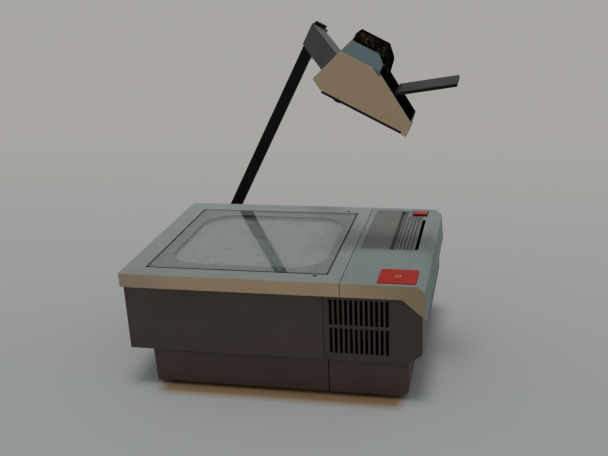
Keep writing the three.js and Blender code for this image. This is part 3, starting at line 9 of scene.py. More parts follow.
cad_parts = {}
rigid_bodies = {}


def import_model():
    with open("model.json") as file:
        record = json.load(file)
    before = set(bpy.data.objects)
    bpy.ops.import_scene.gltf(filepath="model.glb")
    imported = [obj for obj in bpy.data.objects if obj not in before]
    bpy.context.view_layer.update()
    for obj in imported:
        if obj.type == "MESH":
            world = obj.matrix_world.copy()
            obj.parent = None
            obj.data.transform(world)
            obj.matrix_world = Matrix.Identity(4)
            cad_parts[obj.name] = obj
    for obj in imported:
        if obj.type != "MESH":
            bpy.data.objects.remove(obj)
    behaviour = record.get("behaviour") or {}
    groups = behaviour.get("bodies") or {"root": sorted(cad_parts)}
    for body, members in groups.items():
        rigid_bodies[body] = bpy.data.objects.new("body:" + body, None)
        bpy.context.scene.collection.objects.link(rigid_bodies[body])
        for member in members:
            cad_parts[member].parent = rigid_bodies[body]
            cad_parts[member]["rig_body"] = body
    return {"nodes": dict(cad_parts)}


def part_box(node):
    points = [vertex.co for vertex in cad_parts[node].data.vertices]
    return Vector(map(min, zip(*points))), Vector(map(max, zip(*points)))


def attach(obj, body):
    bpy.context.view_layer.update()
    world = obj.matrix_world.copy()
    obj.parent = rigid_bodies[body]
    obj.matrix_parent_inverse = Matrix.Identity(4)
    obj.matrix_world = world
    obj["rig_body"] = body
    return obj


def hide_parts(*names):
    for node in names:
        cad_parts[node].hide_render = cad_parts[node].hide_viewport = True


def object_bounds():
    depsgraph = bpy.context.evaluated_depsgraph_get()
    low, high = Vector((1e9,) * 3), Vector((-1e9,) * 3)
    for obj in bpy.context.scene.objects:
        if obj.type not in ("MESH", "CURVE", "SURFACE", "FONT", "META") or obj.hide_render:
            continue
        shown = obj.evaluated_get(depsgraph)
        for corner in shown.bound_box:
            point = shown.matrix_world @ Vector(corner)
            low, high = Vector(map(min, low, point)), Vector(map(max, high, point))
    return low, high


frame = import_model()
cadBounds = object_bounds()
print("loaded", len(frame["nodes"]), "solids")

photoCamera = {
    "place": (0.40453, -1.44904, 0.51945),  # metres, in the part's frame
    "yaw": 0.2198,  # turned to the left, radians
    "pitch": 0.3236,  # looking down
    "roll": -0.0388,
    "lens": 53.62,
    "sensor": 36.0,
    "nearest": 0.02,  # nothing closer to the camera than this is drawn
}


def makeCamera(c):
    yaw = c["yaw"]
    pitch = c["pitch"]
    ahead = Vector((-math.sin(yaw) * math.cos(pitch), math.cos(yaw) * math.cos(pitch), -math.sin(pitch)))
    level = Vector((math.cos(yaw), math.sin(yaw), 0.0))
    upright = level.cross(ahead)
    right = level * math.cos(c["roll"]) + upright * math.sin(c["roll"])
    up = upright * math.cos(c["roll"]) - level * math.sin(c["roll"])
    turn = Matrix((right, up, -ahead)).transposed()
    data = bpy.data.cameras.new("photoCamera")
    data.lens = c["lens"]
    data.sensor_width = c["sensor"]
    data.clip_start = c["nearest"]
    camera = bpy.data.objects.new("photoCamera", data)
    camera.matrix_world = Matrix.Translation(Vector(c["place"])) @ turn.to_4x4()
    bpy.context.scene.collection.objects.link(camera)
    bpy.context.scene.camera = camera


makeCamera(photoCamera)
print("camera placed")


# Materials. A look starts from one shader, and the helpers below hang grain, drift and wear on it.

def newLook(name, colour, roughness, metallic=0.0, **sockets):
    mat = bpy.data.materials.new(name)
    mat.use_nodes = True
    tree = mat.node_tree
    shader = tree.nodes["Principled BSDF"]
    shader.inputs["Base Color"].default_value = (*colour, 1.0)
    shader.inputs["Roughness"].default_value = roughness
    shader.inputs["Metallic"].default_value = metallic
    for socket, value in sockets.items():
        shader.inputs[socket.replace("_", " ")].default_value = value
    mat.diffuse_color = (*colour, 1.0)
    return mat, tree, shader


def objectPoints(tree):
    found = tree.nodes.get("objectPoints")
    if found is None:
        found = tree.nodes.new("ShaderNodeTexCoord")
        found.name = "objectPoints"
    return found


def noiseNode(tree, scale, detail, rough, stretch=None):
    noise = tree.nodes.new("ShaderNodeTexNoise")
    noise.inputs["Scale"].default_value = scale
    noise.inputs["Detail"].default_value = detail
    noise.inputs["Roughness"].default_value = rough
    points = objectPoints(tree).outputs["Object"]
    if stretch:
        mapping = tree.nodes.new("ShaderNodeMapping")
        mapping.inputs["Scale"].default_value = stretch
        tree.links.new(points, mapping.inputs["Vector"])
        points = mapping.outputs["Vector"]
    tree.links.new(points, noise.inputs["Vector"])
    return noise


def rangeOf(tree, value, low, high, toLow, toHigh):
    node = tree.nodes.new("ShaderNodeMapRange")
    node.inputs["From Min"].default_value = low
    node.inputs["From Max"].default_value = high
    node.inputs["To Min"].default_value = toLow
    node.inputs["To Max"].default_value = toHigh
    tree.links.new(value, node.inputs["Value"])
    return node.outputs["Result"]


def fadeIn(tree, value, start, end):
    return rangeOf(tree, value, start, end, 0.0, 1.0)


def fadeOut(tree, value, start, end):
    return rangeOf(tree, value, start, end, 1.0, 0.0)


def blendColour(tree, factor, first, second):
    mix = tree.nodes.new("ShaderNodeMix")
    mix.data_type = "RGBA"
    tree.links.new(factor, mix.inputs["Factor"])
    for value, socket in ((first, mix.inputs[6]), (second, mix.inputs[7])):
        if isinstance(value, bpy.types.NodeSocket):
            tree.links.new(value, socket)
        else:
            socket.default_value = (*value, 1.0)
    return mix.outputs[2]


def productOf(tree, first, *others):
    for other in others:
        both = tree.nodes.new("ShaderNodeMath")
        both.operation = "MULTIPLY"
        tree.links.new(first, both.inputs[0])
        tree.links.new(other, both.inputs[1])
        first = both.outputs["Value"]
    return first


def sizeOf(tree, value):
    node = tree.nodes.new("ShaderNodeMath")
    node.operation = "ABSOLUTE"
    tree.links.new(value, node.inputs[0])
    return node.outputs["Value"]


def separated(tree, output):
    node = tree.nodes.new("ShaderNodeSeparateXYZ")
    tree.links.new(objectPoints(tree).outputs[output], node.inputs["Vector"])
    return node


# Each limit is an axis, a place on it, and whether the mask fades in or out there
def withinLimits(tree, place, soft, limits):
    masks = [fade(tree, place.outputs[axis], at - soft, at + soft) for axis, at, fade in limits]
    return productOf(tree, *masks)


driftNoise = {
    "colour": {"detail": 4.0, "rough": 0.6},
    "colourBand": (0.32, 0.68),  # the part of the noise's range that the drift of colour uses
    "wear": {"detail": 5.0, "rough": 0.65},
    "wearBand": (0.3, 0.7),
    "grain": {"detail": 2.0, "rough": 0.5},
}
# Scale, strength and depth in metres of each surface grain
grains = {
    "plain": (1300.0, 0.25, 0.00012),
    "case": (1500.0, 0.22, 0.0001),
    "dark": (1100.0, 0.35, 0.00018),
    "button": (1800.0, 0.12, 0.00012),
    "carriage": (900.0, 0.3, 0.00012),
    "arm": (700.0, 0.1, 0.00012),
    "rubber": (800.0, 0.4, 0.00012),
    "bezel": (600.0, 0.1, 0.00012),
    "cap": (120.0, 0.05, 0.0004),
    "brushed": (900.0, 0.12, 0.00006),
}


def driftOf(tree, scale, stretch=None):
    noise = noiseNode(tree, scale, stretch=stretch, **driftNoise["colour"])
    return fadeIn(tree, noise.outputs["Fac"], *driftNoise["colourBand"])


def driftColour(tree, shader, first, second, scale=14.0, stretch=None):
    colour = blendColour(tree, driftOf(tree, scale, stretch), first, second)
    tree.links.new(colour, shader.inputs["Base Color"])


def driftRoughness(tree, shader, low, high, scale=22.0, stretch=None):
    noise = noiseNode(tree, scale, stretch=stretch, **driftNoise["wear"])
    wear = rangeOf(tree, noise.outputs["Fac"], *driftNoise["wearBand"], low, high)
    tree.links.new(wear, shader.inputs["Roughness"])


def bumpFrom(tree, shader, height, strength, depth):
    bump = tree.nodes.new("ShaderNodeBump")
    bump.inputs["Strength"].default_value = strength
    bump.inputs["Distance"].default_value = depth
    tree.links.new(height, bump.inputs["Height"])
    tree.links.new(bump.outputs["Normal"], shader.inputs["Normal"])


def grainBump(tree, shader, grain, stretch=None):
    scale, strength, depth = grains[grain]
    noise = noiseNode(tree, scale, stretch=stretch, **driftNoise["grain"])
    bumpFrom(tree, shader, noise.outputs["Fac"], strength, depth)


def moulded(name, first, second, roughness, grain="plain", gloss=0.5):
    mat, tree, shader = newLook(name, first, sum(roughness) / 2, Specular_IOR_Level=gloss)
    driftColour(tree, shader, first, second)
    driftRoughness(tree, shader, *roughness)
    grainBump(tree, shader, grain)
    return mat


# The light case plastic is one colour under painted light: warm beige on the long sides, standing in for
# warm lamp light, and grey-green where it faces up or to the front, standing in for cool daylight
caseTones = {
    "drift": 9.0,
    "grime": (0.16, 0.13, 0.095),
    "grimeShare": 0.16,
    "grimeBand": (0.62, 0.8),
    "streaks": {"scale": 60.0, "detail": 6.0, "rough": 0.7, "stretch": (1.0, 1.0, 0.15)},
    "roughness": (0.48, 0.62),
    "near": -0.19,  # the top runs from its near tones to its far ones along Y
    "farther": 0.19,
    "edge": 0.0004,  # how softly one tone gives way to the next
}
lidTones = {
    "sideLight": (0.585, 0.43, 0.268),
    "sideDark": (0.52, 0.385, 0.238),
    "sideFade": (0.44, 0.33, 0.258),  # the tone that the sides reach along fadeX
    "fadeX": (-0.08, -0.185),
    "light": (0.315, 0.36, 0.33),
    "dark": (0.275, 0.313, 0.285),
    "farLight": (0.395, 0.445, 0.435),
    "farDark": (0.345, 0.39, 0.38),
    "outside": 0.1925,  # only faces this far from the middle along Y take the side tones
    "wall": (0.135, 0.155, 0.15),  # painted shade on the walls of the aperture, seen through the glass
    "wallRight": 0.152,
    "wallFar": 0.16,
    "wallTop": -0.003,
}
coverTones = {
    "sideLight": (0.585, 0.43, 0.268),
    "sideDark": (0.52, 0.385, 0.238),
    "sideFade": (0.36, 0.268, 0.172),
    "fadeX": (0.175, 0.32),
    "light": (0.275, 0.335, 0.315),
    "dark": (0.24, 0.29, 0.275),
    "farLight": (0.345, 0.39, 0.395),
    "farDark": (0.302, 0.342, 0.346),
    # painted light: faces that look to the front are darker and bluer, standing in for the cool light on
    # that side
    "front": (0.178, 0.232, 0.236),
    "outside": 0.1925,
    # painted shade: the level floor of the recess, up to the finger slot, is darker and browner
    "sunkenShade": (0.21, 0.213, 0.195),
    "sunkenBelow": 0.0002,
    "sunkenRight": 0.2747,  # the tone stops at the finger slot
}
headTones = {
    "sideLight": (0.61, 0.45, 0.285),
    "sideDark": (0.53, 0.392, 0.247),
    "light": (0.152, 0.213, 0.235),
    "dark": (0.128, 0.18, 0.20),
    "outside": 0.042,
    "cornerStart": (0.2097, 0.3039),  # the bevel turns down over the side beyond this line, given by X and Z
    "cornerEnd": (0.2180, 0.2902),
    "cornerSoft": 0.0006,
}
# How squarely a face looks along an axis, from where a tone starts to change to where it has changed
squareness = {"side": (0.87, 0.95), "front": (0.85, 0.95), "level": (0.98, 0.995), "standing": (0.4, 0.7)}


def beyondLine(tree, place, start, end, soft):
    run = (end[0] - start[0], end[1] - start[1])
    length = math.hypot(*run)
    across = (-run[1] / length, run[0] / length)
    dot = tree.nodes.new("ShaderNodeVectorMath")
    dot.operation = "DOT_PRODUCT"
    dot.inputs[1].default_value = (across[0], 0.0, across[1])
    tree.links.new(place, dot.inputs[0])
    edge = start[0] * across[0] + start[1] * across[1]
    return fadeIn(tree, dot.outputs["Value"], edge - soft, edge + soft)


def caseLook(name, tones):
    t = caseTones
    edge = t["edge"]
    mat, tree, shader = newLook(name, tones["sideLight"], roughness=0.5)
    drift = driftOf(tree, t["drift"])
    side = blendColour(tree, drift, tones["sideLight"], tones["sideDark"])
    top = blendColour(tree, drift, tones["light"], tones["dark"])
    facing = separated(tree, "Normal")
    place = separated(tree, "Object")
    acrossY = sizeOf(tree, place.outputs["Y"])
    if "sideFade" in tones:
        fade = fadeIn(tree, place.outputs["X"], *tones["fadeX"])
        side = blendColour(tree, fade, side, tones["sideFade"])
    if "farLight" in tones:
        farther = fadeIn(tree, place.outputs["Y"], t["near"], t["farther"])
        far = blendColour(tree, drift, tones["farLight"], tones["farDark"])
        top = blendColour(tree, farther, top, far)
    # Painted light on the faces that look to the front
    if "front" in tones:
        front = fadeIn(tree, facing.outputs["X"], *squareness["front"])
        top = blendColour(tree, front, top, tones["front"])
    # Painted shade on the level floor of the recess
    if "sunkenShade" in tones:
        level = fadeIn(tree, facing.outputs["Z"], *squareness["level"])
        limits = (("Z", tones["sunkenBelow"], fadeOut), ("X", tones["sunkenRight"], fadeOut))
        sunkenShade = productOf(tree, level, withinLimits(tree, place, edge / 2, limits))
        top = blendColour(tree, sunkenShade, top, tones["sunkenShade"])
    # Painted shade on the standing walls of the aperture
    if "wall" in tones:
        right = tones["wallRight"]
        far = tones["wallFar"]
        highest = tones["wallTop"]
        wall = productOf(
            tree,
            fadeOut(tree, sizeOf(tree, place.outputs["X"]), right - edge, right),
            fadeOut(tree, acrossY, far - edge, far),
            fadeOut(tree, sizeOf(tree, facing.outputs["Z"]), *squareness["standing"]),
            fadeOut(tree, place.outputs["Z"], highest - edge, highest),
        )
        top = blendColour(tree, wall, top, tones["wall"])
    # Painted light: the long sides take the warm-lit side tones, all other faces the cool-lit top tones
    upright = fadeIn(tree, sizeOf(tree, facing.outputs["Y"]), *squareness["side"])
    outer = fadeIn(tree, acrossY, tones["outside"] - edge, tones["outside"])
    colour = blendColour(tree, productOf(tree, upright, outer), top, side)
    # The head's bevel corner takes the painted cool-lit top tones down to the corner line
    if "cornerStart" in tones:
        points = objectPoints(tree).outputs["Object"]
        soft = tones["cornerSoft"]
        beyond = beyondLine(tree, points, tones["cornerStart"], tones["cornerEnd"], soft)
        low = tones["cornerEnd"][1]
        above = fadeIn(tree, place.outputs["Z"], low - soft, low + soft)
        colour = blendColour(tree, productOf(tree, beyond, above), colour, top)
    streak = noiseNode(tree, **t["streaks"])
    dirt = rangeOf(tree, streak.outputs["Fac"], *t["grimeBand"], 0.0, t["grimeShare"])
    colour = blendColour(tree, dirt, colour, t["grime"])
    tree.links.new(colour, shader.inputs["Base Color"])
    driftRoughness(tree, shader, *t["roughness"])
    grainBump(tree, shader, "case")
    return mat


caseTop = caseLook("caseTop", lidTones)
coverCase = caseLook("coverCase", coverTones)
headCase = caseLook("headCase", headTones)
darkCase = moulded("darkCase", (0.106, 0.075, 0.060), (0.090, 0.063, 0.050), (0.5, 0.66), "dark")

# The housing with the louvres: the faces inside the slots carry painted shade in black, and the front end is
# painted greyer, standing in for the cool light on it
grilleTones = {
    "light": (0.094, 0.066, 0.053),
    "dark": (0.079, 0.056, 0.045),
    "drift": 14.0,
    # painted shade inside the louvre slots
    "slot": (0.008, 0.007, 0.007),
    # painted light on the front end
    "front": (0.16, 0.168, 0.17),
    "acrossX": (0.158, 0.2565),  # the louvres lie between these
    "acrossZ": (-0.1185, -0.0275),
    "nearY": -0.180,
    "frontX": 0.25,
    "edge": 0.0003,
    "roughness": (0.5, 0.66),
}


def grilleLook(g):
    mat, tree, shader = newLook("grilleCase", g["light"], roughness=0.58)
    colour = blendColour(tree, driftOf(tree, g["drift"]), g["light"], g["dark"])
    facing = separated(tree, "Normal")
    place = separated(tree, "Object")
    limits = (
        ("X", g["acrossX"][0], fadeIn),
        ("X", g["acrossX"][1], fadeOut),
        ("Z", g["acrossZ"][0], fadeIn),
        ("Z", g["acrossZ"][1], fadeOut),
        ("Y", g["nearY"], fadeOut),
    )
    # Painted shade inside the louvre slots and painted light on the front end
    inside = fadeOut(tree, sizeOf(tree, facing.outputs["Y"]), *squareness["standing"])
    slotShade = productOf(tree, inside, withinLimits(tree, place, g["edge"], limits))
    ahead = fadeIn(tree, facing.outputs["X"], *squareness["front"])
    front = productOf(tree, ahead, withinLimits(tree, place, g["edge"], (("X", g["frontX"], fadeIn),)))
    colour = blendColour(tree, front, colour, g["front"])
    tree.links.new(blendColour(tree, slotShade, colour, g["slot"]), shader.inputs["Base Color"])
    driftRoughness(tree, shader, *g["roughness"])
    grainBump(tree, shader, "dark")
    return mat


grilleCase = grilleLook(grilleTones)
baseCase = moulded("baseCase", (0.103, 0.068, 0.058), (0.086, 0.057, 0.048), (0.5, 0.66), "dark")

# The grip well is painted darker the deeper it lies: painted shade on the floor between the ribs, and darker
# still in the deep channel
gripTones = {
    "rib": (0.29, 0.30, 0.285),
    "floor": (0.155, 0.16, 0.152),
    "floorZ": -0.0012,
    "deep": (0.105, 0.108, 0.102),
    "deepZ": -0.0032,
    "edge": 0.0002,
    "roughness": (0.55, 0.7),
}


def gripLook(g):
    mat, tree, shader = newLook("gripGrey", g["rib"], roughness=0.62)
    height = separated(tree, "Object").outputs["Z"]
    colour = g["rib"]
    # Painted shade, darker with depth
    for at, tone in ((g["floorZ"], g["floor"]), (g["deepZ"], g["deep"])):
        shadedBelow = fadeOut(tree, height, at - g["edge"], at + g["edge"])
        colour = blendColour(tree, shadedBelow, colour, tone)
    tree.links.new(colour, shader.inputs["Base Color"])
    driftRoughness(tree, shader, *g["roughness"])
    grainBump(tree, shader, "plain")
    return mat


gripGrey = gripLook(gripTones)
rockerRed = moulded("rockerRed", (0.58, 0.085, 0.078), (0.50, 0.072, 0.066), (0.45, 0.55), "button", 0.3)
padRed = moulded("padRed", (0.56, 0.022, 0.017), (0.48, 0.018, 0.013), (0.45, 0.55), "button", 0.3)
blackPlastic = moulded("blackPlastic", (0.012, 0.012, 0.012), (0.017, 0.016, 0.015), (0.5, 0.65), gloss=0.3)
# A near-black matte: the fan frame's colour, and painted shade inside the head shell
insideBlackAndShade = moulded("insideBlackAndShade", (0.006, 0.006, 0.006), (0.009, 0.0085, 0.008), (0.8, 0.95), gloss=0.1)
flapTop = moulded("flapTop", (0.067, 0.061, 0.056), (0.057, 0.052, 0.047), (0.55, 0.68), gloss=0.35)
armPaint = moulded("armPaint", (0.007, 0.007, 0.006), (0.010, 0.009, 0.009), (0.4, 0.5), "arm", 0.25)
rubberBlack = moulded("rubberBlack", (0.018, 0.018, 0.018), (0.026, 0.025, 0.024), (0.75, 0.9), "rubber")
ceramic = moulded("ceramic", (0.72, 0.68, 0.6), (0.66, 0.62, 0.54), (0.6, 0.75))
markWhite = moulded("markWhite", (0.8, 0.78, 0.74), (0.72, 0.7, 0.66), (0.5, 0.6))

# The carriage's top is painted lighter than its sides: painted light from the lamp overhead
carriageTones = {
    "side": (0.050, 0.050, 0.051),
    "sideDark": (0.042, 0.042, 0.043),
    "top": (0.152, 0.152, 0.149),
    "topDark": (0.130, 0.130, 0.127),
    "drift": 30.0,
    "upward": (0.5, 0.75),  # how far a face has to look up to take the top's tones
    "roughness": (0.5, 0.62),
}


def carriageLook(c):
    mat, tree, shader = newLook("carriagePaint", c["side"], roughness=0.56)
    drift = driftOf(tree, c["drift"])
    # Painted light: faces that look up take the lighter top tones
    upward = fadeIn(tree, separated(tree, "Normal").outputs["Z"], *c["upward"])
    side = blendColour(tree, drift, c["side"], c["sideDark"])
    top = blendColour(tree, drift, c["top"], c["topDark"])
    tree.links.new(blendColour(tree, upward, side, top), shader.inputs["Base Color"])
    driftRoughness(tree, shader, *c["roughness"])
    grainBump(tree, shader, "carriage")
    return mat


carriagePaint = carriageLook(carriageTones)

# The cap is black; its brown clouds and gold flecks are painted reflections and highlights
capTones = {
    "black": (0.010, 0.009, 0.008),
    "brownReflection": (0.085, 0.052, 0.025),
    "goldGlint": (0.33, 0.25, 0.12),
    "plain": (0.009, 0.008, 0.007),
    "reflectionClouds": {"scale": 90.0, "detail": 5.0, "rough": 0.65},
    "cloudBand": (0.5, 0.68),
    "glintFlecks": {"scale": 210.0, "detail": 3.0, "rough": 0.6},
    "fleckBand": (0.62, 0.72),
    "fleckShare": 0.8,
    "slanted": (0.35, 0.6),  # only faces that look sideways show the painted reflections and glints
    "roughness": (0.34, 0.48),
    "wear": 40.0,
}


def capLook(c):
    mat, tree, shader = newLook("capGloss", c["black"], roughness=0.3, Specular_IOR_Level=0.0)
    # Painted reflections and glints
    reflectionClouds = fadeIn(tree, noiseNode(tree, **c["reflectionClouds"]).outputs["Fac"], *c["cloudBand"])
    brownReflection = blendColour(tree, reflectionClouds, c["black"], c["brownReflection"])
    glintFlecks = noiseNode(tree, **c["glintFlecks"]).outputs["Fac"]
    goldGlint = blendColour(tree, rangeOf(tree, glintFlecks, *c["fleckBand"], 0.0, c["fleckShare"]), brownReflection, c["goldGlint"])
    slanted = fadeIn(tree, sizeOf(tree, separated(tree, "Normal").outputs["Y"]), *c["slanted"])
    tree.links.new(blendColour(tree, slanted, c["plain"], goldGlint), shader.inputs["Base Color"])
    driftRoughness(tree, shader, *c["roughness"], c["wear"])
    grainBump(tree, shader, "cap")
    return mat


capGloss = capLook(capTones)
bezelBlack = moulded("bezelBlack", (0.006, 0.006, 0.007), (0.009, 0.0088, 0.0095), (0.7, 0.85), "bezel", 0.0)

brushing = {"drift": 30.0, "wear": 60.0, "smoother": 0.07, "rougher": 0.1}


def brushed(name, colour, second, roughness, stretch):
    b = brushing
    mat, tree, shader = newLook(name, colour, roughness, metallic=1.0)
    driftColour(tree, shader, colour, second, b["drift"], stretch)
    driftRoughness(tree, shader, roughness - b["smoother"], roughness + b["rougher"], b["wear"], stretch)
    grainBump(tree, shader, "brushed", stretch)
    return mat


platedSteel = brushed("platedSteel", (0.56, 0.57, 0.58), (0.48, 0.49, 0.5), 0.3, (1.0, 0.15, 1.0))
darkSteel = brushed("darkSteel", (0.075, 0.075, 0.08), (0.05, 0.05, 0.055), 0.42, (1.0, 0.3, 1.0))
sheetMetal = brushed("sheetMetal", (0.62, 0.63, 0.64), (0.55, 0.56, 0.57), 0.38, (0.1, 1.0, 1.0))
coreSteel = brushed("coreSteel", (0.2, 0.2, 0.21), (0.14, 0.14, 0.15), 0.5, (1.0, 0.08, 1.0))
turnedBrass = brushed("turnedBrass", (0.62, 0.45, 0.18), (0.52, 0.37, 0.14), 0.32, (1.0, 0.2, 1.0))
copperWire = brushed("copperWire", (0.42, 0.17, 0.07), (0.34, 0.12, 0.05), 0.42, (1.0, 1.0, 0.1))
mirrorCoat = brushed("mirrorCoat", (0.88, 0.89, 0.9), (0.85, 0.86, 0.87), 0.1, (1.0, 1.0, 1.0))

glassTones = {
    "stage": (0.90, 0.955, 0.94),
    "stageSmear": (0.02, 0.045),
    "lens": (0.93, 0.97, 0.96),
    "lensSmear": (0.0, 0.02),
    "wear": 16.0,
}


def glassLook(name, tint, smear, wear):
    mat, tree, shader = newLook(name, tint, smear[0], Transmission_Weight=1.0, IOR=1.5)
    driftRoughness(tree, shader, *smear, wear)
    return mat


stageGlass = glassLook("stageGlass", glassTones["stage"], glassTones["stageSmear"], glassTones["wear"])
lensGlass = glassLook("lensGlass", glassTones["lens"], glassTones["lensSmear"], glassTones["wear"])

ringedSheet = {
    "colour": (0.70, 0.72, 0.715),
    "second": (0.64, 0.66, 0.655),
    "centre": (0.004, 0.0, 0.0),
    "pitch": 0.0085,  # width of one visible ring group
    "wave": 0.32,  # width of one ring of the wave at scale 1
    "bump": (0.3, 0.0004),
    "shade": (0.36, 0.375, 0.37),  # the deep far and left walls shade a band of the lens
    "half": (0.1315, 0.1295),
    "corner": 0.055,
    "shadeShift": (0.006, -0.017),
    "shadeSoft": 0.0022,
    "roughness": (0.24, 0.3),
    "wear": 12.0,
}


def roundedEdge(tree, points, centre, half, corner, soft):
    def vector(operation, first, second):
        node = tree.nodes.new("ShaderNodeVectorMath")
        node.operation = operation
        tree.links.new(first, node.inputs[0])
        if second is not None:
            node.inputs[1].default_value = second
        return node
    moved = vector("SUBTRACT", points, centre).outputs["Vector"]
    flat = vector("MULTIPLY", moved, (1.0, 1.0, 0.0)).outputs["Vector"]
    size = vector("ABSOLUTE", flat, None).outputs["Vector"]
    past = vector("SUBTRACT", size, (half[0] - corner, half[1] - corner, 0.0)).outputs["Vector"]
    outer = vector("MAXIMUM", past, (0.0, 0.0, 0.0)).outputs["Vector"]
    length = vector("LENGTH", outer, None).outputs["Value"]
    return fadeIn(tree, length, corner - soft, corner + soft)


def fresnelLook(c):
    mat, tree, shader = newLook(
        "fresnelRings", c["colour"], roughness=0.25, Transmission_Weight=0.12, IOR=1.49
    )
    points = objectPoints(tree).outputs["Object"]
    mapping = tree.nodes.new("ShaderNodeMapping")
    mapping.inputs["Location"].default_value = tuple(-v for v in c["centre"])
    tree.links.new(points, mapping.inputs["Vector"])
    rings = tree.nodes.new("ShaderNodeTexWave")
    rings.wave_type = "RINGS"
    rings.rings_direction = "Z"
    rings.inputs["Scale"].default_value = c["wave"] / c["pitch"]
    rings.inputs["Distortion"].default_value = 0.0
    tree.links.new(mapping.outputs["Vector"], rings.inputs["Vector"])
    colour = blendColour(tree, rings.outputs["Fac"], c["colour"], c["second"])
    centre = (c["centre"][0] + c["shadeShift"][0], c["centre"][1] + c["shadeShift"][1], 0.0)
    shade = roundedEdge(tree, points, centre, c["half"], c["corner"], c["shadeSoft"])
    tree.links.new(blendColour(tree, shade, colour, c["shade"]), shader.inputs["Base Color"])
    bumpFrom(tree, shader, rings.outputs["Fac"], *c["bump"])
    driftRoughness(tree, shader, *c["roughness"], c["wear"])
    return mat


fresnelRings = fresnelLook(ringedSheet)
print("materials ready")


# Geometry helpers

easing = {
    "merge": 1e-6,
    "flatBelow": 0.6,  # degrees: faces this close to one plane become one
    "sharpAbove": 32.0,  # degrees: edges sharper than this are eased
    "smoothBelow": 40.0,  # degrees: faces that meet at less than this shade as one
    "weight": 100,  # how strongly the large faces set the normals
}


def addObject(name, mesh, body, look):
    obj = bpy.data.objects.new(name, mesh)
    bpy.context.scene.collection.objects.link(obj)
    mesh.materials.clear()
    mesh.materials.append(look)
    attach(obj, body)
    return obj


def boxInto(bm, low, high):
    made = bmesh.ops.create_cube(bm, size=1.0)
    for v in made["verts"]:
        v.co = Vector(tuple(low[i] + (v.co[i] + 0.5) * (high[i] - low[i]) for i in range(3)))


def meshFrom(bm, name, edge=0.0, rounds=2):
    if edge > 0:
        limit = math.radians(easing["sharpAbove"])
        edges = [e for e in bm.edges if len(e.link_faces) == 2 and e.calc_face_angle(0.0) > limit]
        bmesh.ops.bevel(bm, geom=edges, offset=edge, offset_type="OFFSET", segments=rounds, profile=0.5,
                        affect="EDGES", clamp_overlap=True)
    mesh = bpy.data.meshes.new(name)
    bm.to_mesh(mesh)
    bm.free()
    mesh.shade_smooth()
    mesh.set_sharp_from_angle(angle=math.radians(easing["smoothBelow"]))
    return mesh


# A copy of a solid that replaces it, with its sharp edges eased and smooth faces between them
def easedCopy(node, look, edge, rounds=2):
    source = frame["nodes"][node]
    bm = bmesh.new()
    bm.from_mesh(source.data)
    bmesh.ops.remove_doubles(bm, verts=bm.verts, dist=easing["merge"])
    flat = math.radians(easing["flatBelow"])
    bmesh.ops.dissolve_limit(bm, angle_limit=flat, verts=bm.verts, edges=bm.edges)
    name = node + "Case"
    obj = addObject(name, meshFrom(bm, name, edge, rounds), source["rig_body"], look)
    weighted = obj.modifiers.new("even", "WEIGHTED_NORMAL")
    weighted.keep_sharp = True
    weighted.weight = easing["weight"]
    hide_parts(node)
    return obj


# Each row is a node, its look and the width of its eased edges in metres
def easedCopies(rows):
    for node, look, edge in rows:
        easedCopy(node, look, edge)


# Stage lid
easedCopies((
    ("stage_frame", caseTop, 0.0012),
    ("stage_glass", stageGlass, 0.0004),
    ("fresnel_lens", fresnelRings, 0.0),
    ("lens_retainer", sheetMetal, 0.0004),
    ("lid_screw_near", darkSteel, 0.0003),
    ("lid_screw_far", darkSteel, 0.0003),
))

# A pale strip along the far edge of the glass: a painted highlight
glassEdgeHighlight = moulded("glassEdgeHighlight", (0.66, 0.67, 0.66), (0.6, 0.61, 0.6), (0.2, 0.3))
gasket = {
    "halfWidth": 0.149,
    "halfDepth": 0.157,
    "width": 0.0009,
    "gap": 0.0001,
    "low": -0.0042,
    "high": 0.0008,
    "lip": 0.0014,  # how far the near and right lips lie over the lid
    "lipLow": 0.0004,
    "lipHigh": 0.0013,
    "highlightStrip": 0.0012,  # how far the painted highlight strip along the far edge lies over the glass
    "edge": 0.0001,
}


def makeGasket(g):
    bm = bmesh.new()
    inner = (g["halfWidth"] + g["gap"], g["halfDepth"] + g["gap"])
    outer = (inner[0] + g["width"], inner[1] + g["width"])
    for low, high in (
        ((-outer[0], -outer[1]), (outer[0], -inner[1])),
        ((-outer[0], -inner[1]), (-inner[0], inner[1])),
        ((inner[0], -inner[1]), (outer[0], inner[1])),
    ):
        boxInto(bm, (low[0], low[1], g["low"]), (high[0], high[1], g["high"]))
    for low, high in (
        ((-outer[0], -outer[1] - g["lip"]), (outer[0], -outer[1] + g["width"] / 2)),
        ((outer[0] - g["width"] / 2, -outer[1] - g["lip"]), (outer[0] + g["lip"], outer[1])),
    ):
        boxInto(bm, (low[0], low[1], g["lipLow"]), (high[0], high[1], g["lipHigh"]))
    addObject("glassGasket", meshFrom(bm, "glassGasket", g["edge"]), "lid", rubberBlack)
    # The far edge gets the pale strip, a painted highlight
    bm = bmesh.new()
    boxInto(bm, (-outer[0], inner[1] - g["highlightStrip"], -g["gap"]), (outer[0], outer[1], g["lipHigh"]))
    addObject("farGlassHighlight", meshFrom(bm, "farGlassHighlight", g["edge"]), "lid", glassEdgeHighlight)


makeGasket(gasket)

# The screws' cross recesses are drawn as thin black inlays: painted shade in the recesses
crossSlot = {"length": 0.0042, "width": 0.0009, "depth": 0.0006, "rise": 0.00004}


def makeCrossSlots(c):
    for name, node in (("nearScrewCross", "lid_screw_near"), ("farScrewCross", "lid_screw_far")):
        low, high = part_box(node)
        middle = (low + high) / 2
        bm = bmesh.new()
        for x, y in ((c["length"] / 2, c["width"] / 2), (c["width"] / 2, c["length"] / 2)):
            bottom = (middle.x - x, middle.y - y, high.z - c["depth"])
            boxInto(bm, bottom, (middle.x + x, middle.y + y, high.z + c["rise"]))
        addObject(name, meshFrom(bm, name), "lid", blackPlastic)


